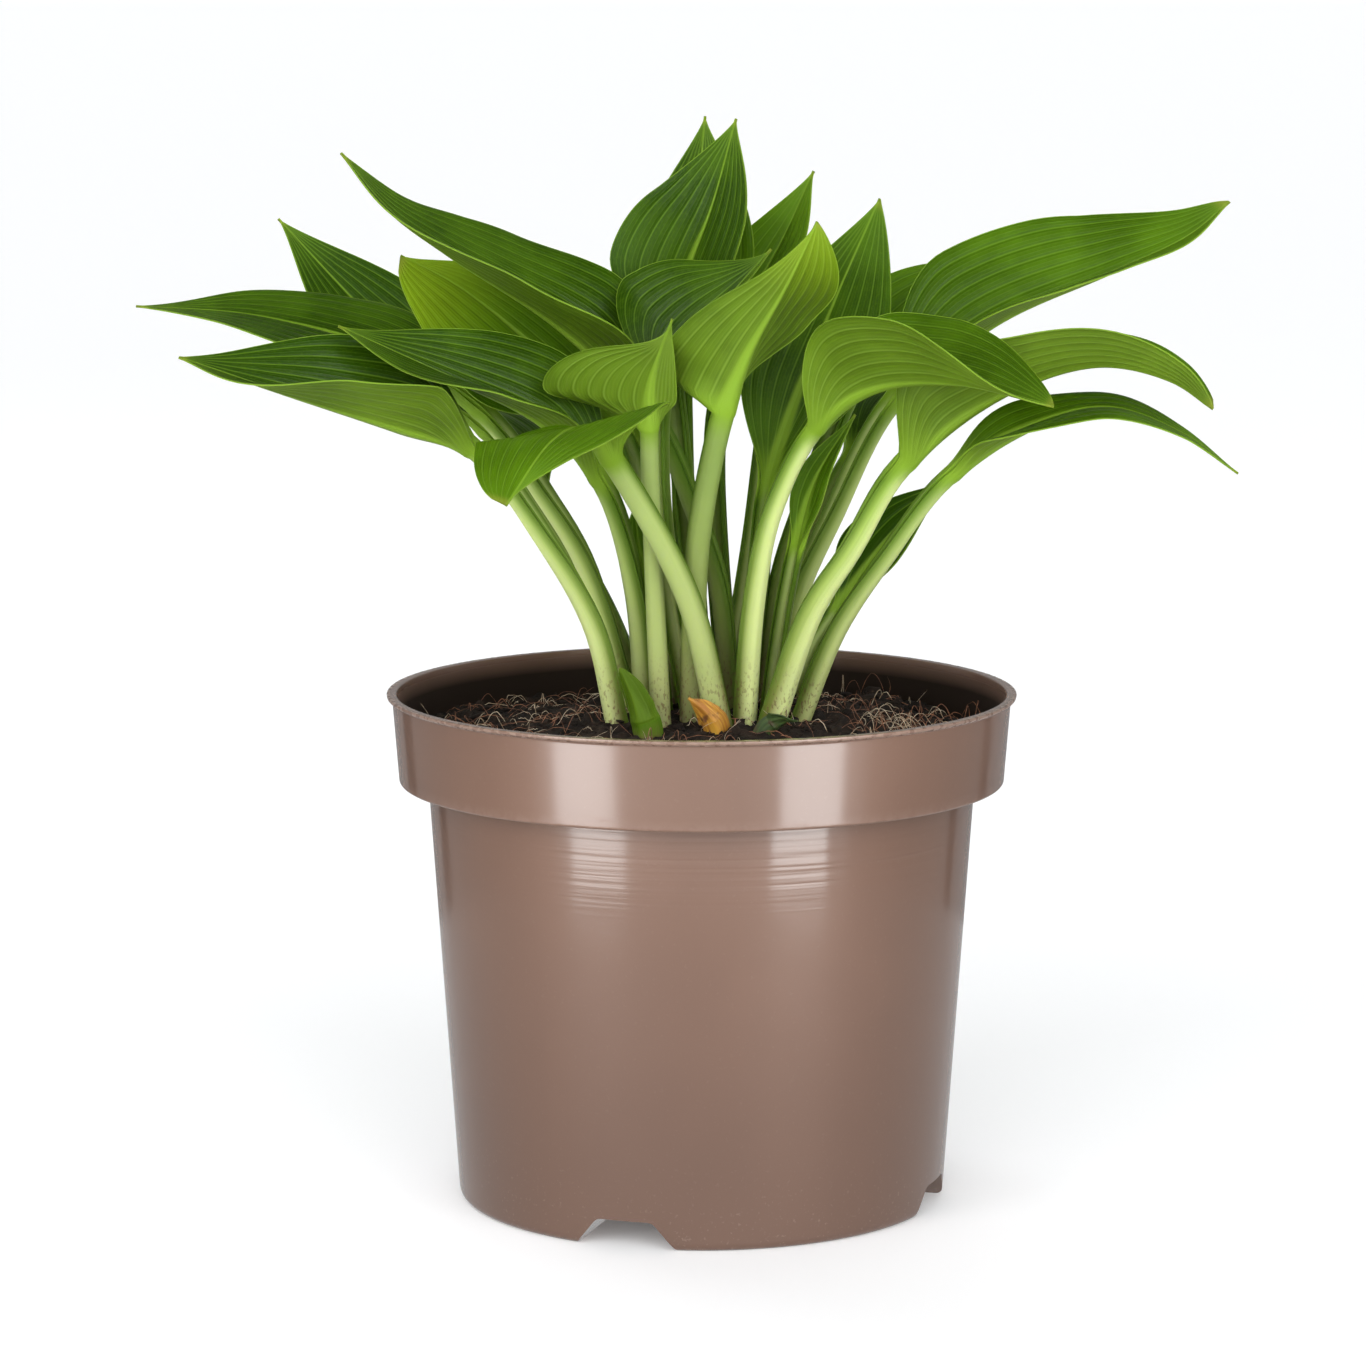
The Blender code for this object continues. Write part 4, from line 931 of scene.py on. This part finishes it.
def make_soil(rng):
    """The whole body of peat: its surface with half-buried crumbs, and its sides inside the pot."""
    spread = np.linspace(0, 1, SOIL_RINGS + 1)[1:]
    angle = circle(SOIL_TURNS)
    radius = spread[:, None] * (SOIL_RADIUS - 0.5)
    x, y = radius * np.cos(angle), radius * np.sin(angle)
    z = soil_height(x, y)
    centres = rng.uniform(-SOIL_RADIUS, SOIL_RADIUS, (BURIED_CRUMBS, 2))
    sizes = 0.7 + rng.exponential(0.45, BURIED_CRUMBS).clip(0, 1.8)
    for (cx, cy), size in zip(centres, sizes):
        near = (x - cx) ** 2 + (y - cy) ** 2
        inside = near < size * size
        if inside.any():
            z[inside] += 0.75 * np.sqrt(size * size - near[inside]) * rng.uniform(0.5, 1)
    z = np.minimum(z, POT_HEIGHT - 4)
    rings = [np.stack([x, y, z], -1).reshape(-1, 3)]
    outer = np.stack([x[-1], y[-1]], -1)
    ledge, floor = COLLAR_FOOT_HEIGHT + WALL + SOIL_GAP, CHANNEL_HEIGHT + CHANNEL_SHELL + SOIL_GAP
    for limit, height in ((collar_radius(ledge), ledge), (wall_radius(ledge - 2), ledge),
                          (wall_radius(floor), floor)):
        rings.append(np.column_stack([unit(outer) * (limit - WALL - SOIL_GAP), np.full(SOIL_TURNS, height)]))
    points = np.vstack([*rings, (0, 0, soil_height(0.0, 0.0)), (0, 0, floor)])
    peat = peat_material()
    faces = capped_faces(SOIL_RINGS + len(rings) - 1, SOIL_TURNS)
    stand_for(mesh_object("soil_visual", points, faces, peat), "soil")
    return peat


def lump(rng, size, flatness):
    """An uneven closed pebble of peat, as points and faces."""
    shape = bmesh.new()
    bmesh.ops.create_icosphere(shape, subdivisions=1, radius=1)
    points = np.array([v.co[:] for v in shape.verts])
    faces = [[v.index for v in f.verts] for f in shape.faces]
    shape.free()
    points *= rng.uniform(0.5, 1.4, (len(points), 1))
    points *= np.array([rng.uniform(0.7, 1.9), 1, flatness]) * size
    turn = Matrix.Rotation(rng.uniform(0, 2 * math.pi), 3, "Z")
    tilt = Matrix.Rotation(rng.uniform(-0.7, 0.7), 3, "X")
    return points @ np.array(turn @ tilt).T, faces


def gather(name, parts, material, smooth=True):
    """One object from many (points, faces), which stands for no CAD node."""
    points, faces, count = [], [], 0
    for part_points, part_faces in parts:
        points.append(part_points)
        faces += [[i + count for i in face] for face in part_faces]
        count += len(part_points)
    stand_for(mesh_object(name, np.vstack(points), faces, material, smooth), None)


def ring_place(rng, inner, outer):
    angle = rng.uniform(0, 2 * math.pi)
    radius = math.sqrt(rng.uniform((inner / outer) ** 2, 1)) * outer
    return radius * math.cos(angle), radius * math.sin(angle)


def make_crumbs(rng, peat):
    parts = []
    for _ in range(LOOSE_CRUMBS):
        size = 0.35 + min(rng.exponential(0.42), 1.8)
        x, y = ring_place(rng, 4, SOIL_RADIUS - 3)
        points, faces = lump(rng, size, rng.uniform(0.4, 0.9))
        parts.append((points + (x, y, float(soil_height(x, y)) + 0.6 * size), faces))
    gather("soil_crumbs", parts, peat, smooth=False)


def tube(points, radius, sides=5):
    """A closed thin tube along the points, tapering at its ends."""
    points = np.asarray(points, float)
    ahead = unit(np.gradient(points, axis=0))
    side = unit(np.cross(ahead, (0.31, 0.22, 0.92)))
    other = np.cross(ahead, side)
    share = np.linspace(0, 1, len(points))
    width = radius * np.minimum(1, 0.25 + 6 * np.minimum(share, 1 - share))
    turn = circle(sides)[None, :, None]
    ring = np.cos(turn) * side[:, None] + np.sin(turn) * other[:, None]
    body = (points[:, None] + ring * width[:, None, None]).reshape(-1, 3)
    sheath = [(a, d, c, b) for a, b, c, d in ring_faces(len(points), sides)]
    return body, [*sheath, range(sides)[::-1], range(len(body) - sides, len(body))]


def fibre_route(rng, x, y, length, arch):
    """A root fibre that wanders over the soil, arching clear of it by up to arch."""
    limit = SOIL_RADIUS - 4
    heading = rng.uniform(0, 2 * math.pi)
    bend = rng.normal(0, 0.05)
    route = []
    for share in np.arange(FIBRE_POINTS) / (FIBRE_POINTS - 1):
        radius = math.hypot(x, y)
        if radius > limit:
            x, y = x * limit / radius, y * limit / radius
        lift = arch * math.sin(math.pi * min(share * 1.15, 1)) + rng.normal(0, 0.12)
        route.append((x, y, float(soil_height(x, y)) + 0.9 + max(lift, -0.4)))
        heading += bend + rng.normal(0, 0.06)
        x += math.cos(heading) * length / FIBRE_POINTS
        y += math.sin(heading) * length / FIBRE_POINTS
    return curve_through(route, 3)[0]


def make_fibres(rng):
    kinds = [
        ("pale_fibres", 230, (3, 14), (0.05, 0.11), fibre_material(
            "pale_fibre", (0.6, 0.5, 0.36), (0.3, 0.2, 0.12))),
        ("brown_fibres", 260, (4, 18), (0.06, 0.12), fibre_material(
            "brown_fibre", (0.26, 0.11, 0.055), (0.08, 0.034, 0.018))),
    ]
    for name, count, lengths, radii, material in kinds:
        parts = []
        for _ in range(count):
            x, y = ring_place(rng, 14, SOIL_RADIUS - 6)
            arch = rng.exponential(1.6)
            route = fibre_route(rng, x, y, rng.uniform(*lengths), min(arch, 7))
            parts.append(tube(route, rng.uniform(*radii)))
        # A tangle on the right, and some fibres that stand up.
        for _ in range(count // 7):
            x, y = rng.normal(*TANGLE)
            route = fibre_route(rng, x, y, rng.uniform(6, 16), rng.uniform(0.5, 6))
            parts.append(tube(route, rng.uniform(*radii)))
        for _ in range(UPRIGHT_FIBRES):
            x, y = ring_place(rng, 24, SOIL_RADIUS - 8)
            lean = rng.normal(0, 4.5, 2)
            steps = np.linspace(0, 1, 8)[:, None]
            foot = np.array([x, y, float(soil_height(x, y)) - 0.5])
            rise = np.array([*lean, rng.uniform(2.5, 9)])
            route = foot + rise * steps + np.array([*rng.normal(0, 1.5, 2), 0]) * np.sin(math.pi * steps)
            parts.append(tube(route, radii[0]))
        gather(name, parts, material)


# ---- stage, in metres
TABLE_RADIUS = 0.41
GROUND_RADIUS = 90
DISC_SIDES = 128
CARD_DISTANCE = 1.0
CARD_FOOT, CARD_HEAD, FLAG_HEAD = -1.5, 1.3, 1.6
SURROUND_RADIUS = 1.35
SURROUND_STEPS = 24
CEILING_HEIGHT, CEILING_SIZE = 1.4, 1.6
CAMERA_PLACE = (-0.0056, -1.4175, 0.3744)
CAMERA_DOWN = 8.737
CAMERA_LENS, SENSOR_WIDTH = 125.2, 36


def plain(name, colour, glow=0):
    return new_material(name, Roughness=0.9, Specular_IOR_Level=0.1, Emission_Color=(1, 1, 1),
                        Emission_Strength=glow).finish(Base_Color=colour)


def glowing(name, strength):
    """Black that glows white where it is mirrored, and isn't sampled as a light."""
    material = plain(name, (0, 0, 0), strength)
    material.cycles.emission_sampling = "NONE"
    return material


def flat_object(name, height, material, create, **sizes):
    """A flat sheet across the axis, made by the bmesh operator create."""
    shape = bmesh.new()
    create(shape, **sizes)
    bmesh.ops.translate(shape, verts=shape.verts, vec=(0, 0, height))
    obj = shape_object(name, shape)
    obj.data.materials.append(material)
    return obj


def disc(name, height, material):
    return flat_object(name, height, material, bmesh.ops.create_circle, cap_ends=True,
                       segments=DISC_SIDES, radius=TABLE_RADIUS)


def make_floor():
    """A round table top and the ground that carries it on to the horizon, in one plane. Mirrored rays
    pass both, and meet the table's grey stand-in instead."""
    white = plain("floor", (0.93, 0.942, 0.955), 0.08)
    table = disc("table", 0, white)
    rings = [(radius * math.cos(turn), radius * math.sin(turn), 0)
             for radius in (TABLE_RADIUS, GROUND_RADIUS) for turn in circle(DISC_SIDES)]
    ground = mesh_object("ground", rings, ring_faces(2, DISC_SIDES), white, False, 1)
    for obj in (table, ground):
        obj.visible_glossy = False


def only_reflected(obj):
    for ray in ("camera", "diffuse", "transmission", "volume_scatter", "shadow"):
        setattr(obj, "visible_" + ray, False)


def curtain(name, places, high, material):
    """An upright strip over a row of places, which shows only in reflections."""
    points = [(x, y, z) for z in (CARD_FOOT, high) for x, y in places]
    only_reflected(mesh_object(name, points, grid_faces(2, len(places)), material, False, 1))


def make_reflectors():
    """Cards and a closed ring round them. Azimuth 0 is the front, -Y, and 90 is +X."""
    bright, dark = glowing("softbox_face", 8.5), plain("dark_flag", (0.01, 0.01, 0.01))
    for name, azimuth, width, high, material in (
            ("softbox_left_face", -43, 0.41, CARD_HEAD, bright),
            ("softbox_right_face", 40.2, 0.42, CARD_HEAD, bright),
            ("flag_left", -138.5, 0.18, FLAG_HEAD, dark), ("flag_right", 129.4, 0.14, FLAG_HEAD, dark)):
        turn = math.radians(azimuth)
        middle = np.array([math.sin(turn), -math.cos(turn)]) * CARD_DISTANCE
        aside = np.array([math.cos(turn), math.sin(turn)]) * width / 2
        curtain(name, (middle - aside, middle + aside), high, material)
    for name, first, last, glow in (("surround_front", -62, 62, 1), ("surround_back", 62, 298, 0.3)):
        turns = np.radians(np.linspace(first, last, SURROUND_STEPS))
        places = [(SURROUND_RADIUS * math.sin(t), -SURROUND_RADIUS * math.cos(t)) for t in turns]
        curtain(name, places, FLAG_HEAD, glowing(name, glow))
    only_reflected(disc("table_mirrored", -0.001, glowing("table_mirrored", 0.5)))
    only_reflected(flat_object("ceiling", CEILING_HEIGHT, dark, bmesh.ops.create_grid, x_segments=1,
                               y_segments=1, size=CEILING_SIZE))


def make_lights():
    for name, place, aim, size, power in (
            ("softbox_left", (-1.15, -1.1, 0.75), 0.18, (0.6, 1.2), 7),
            ("softbox_right", (1.1, -1.15, 0.75), 0.18, (0.6, 1.2), 5),
            ("back_left", (-1.3, 1.2, 1.2), 0.15, (0.8, 0.8), 5)):
        light = bpy.data.lights.new(name, "AREA")
        light.shape = "RECTANGLE"
        light.size, light.size_y = size
        light.energy = power
        obj = new_object(name, light)
        obj.location = place
        obj.rotation_euler = (Vector((0, 0, aim)) - Vector(place)).to_track_quat("-Z", "Y").to_euler()
        obj.visible_glossy = False


def make_world():
    """White walls, brightest in front, fairly bright behind, dimmer at the sides and overhead."""
    g = Graph(bpy.data.worlds.new("studio"), "Background", Color=(1, 1, 1))
    way = g.add("SeparateXYZ", {0: g.coordinates("Generated")}).outputs
    walls = g.plus(g.between(way["Y"], -0.98, -0.45, 4.7, 0.5), g.between(way["Y"], 0.3, 0.95, 0, 1.5))
    strength = g.times(walls, g.between(way["Z"], 0.3, 0.9, 1, 0.7))
    bpy.context.scene.world = g.finish(Strength=strength)


def make_camera():
    camera = bpy.data.cameras.new("camera")
    camera.sensor_width = SENSOR_WIDTH
    camera.lens = CAMERA_LENS
    camera.clip_start = 0.01
    camera.clip_end = 200
    obj = new_object("camera", camera)
    obj.location = CAMERA_PLACE
    obj.rotation_euler = (math.radians(90 - CAMERA_DOWN), 0, 0)
    bpy.context.scene.camera = obj


make_camera()
make_lights()
make_world()
make_reflectors()
make_floor()
make_pot()
soil_rng = np.random.default_rng(11)
peat = make_soil(soil_rng)
make_crumbs(soil_rng, peat)
make_fibres(soil_rng)
make_leaves()
bpy.context.scene.view_settings.view_transform = "Standard"
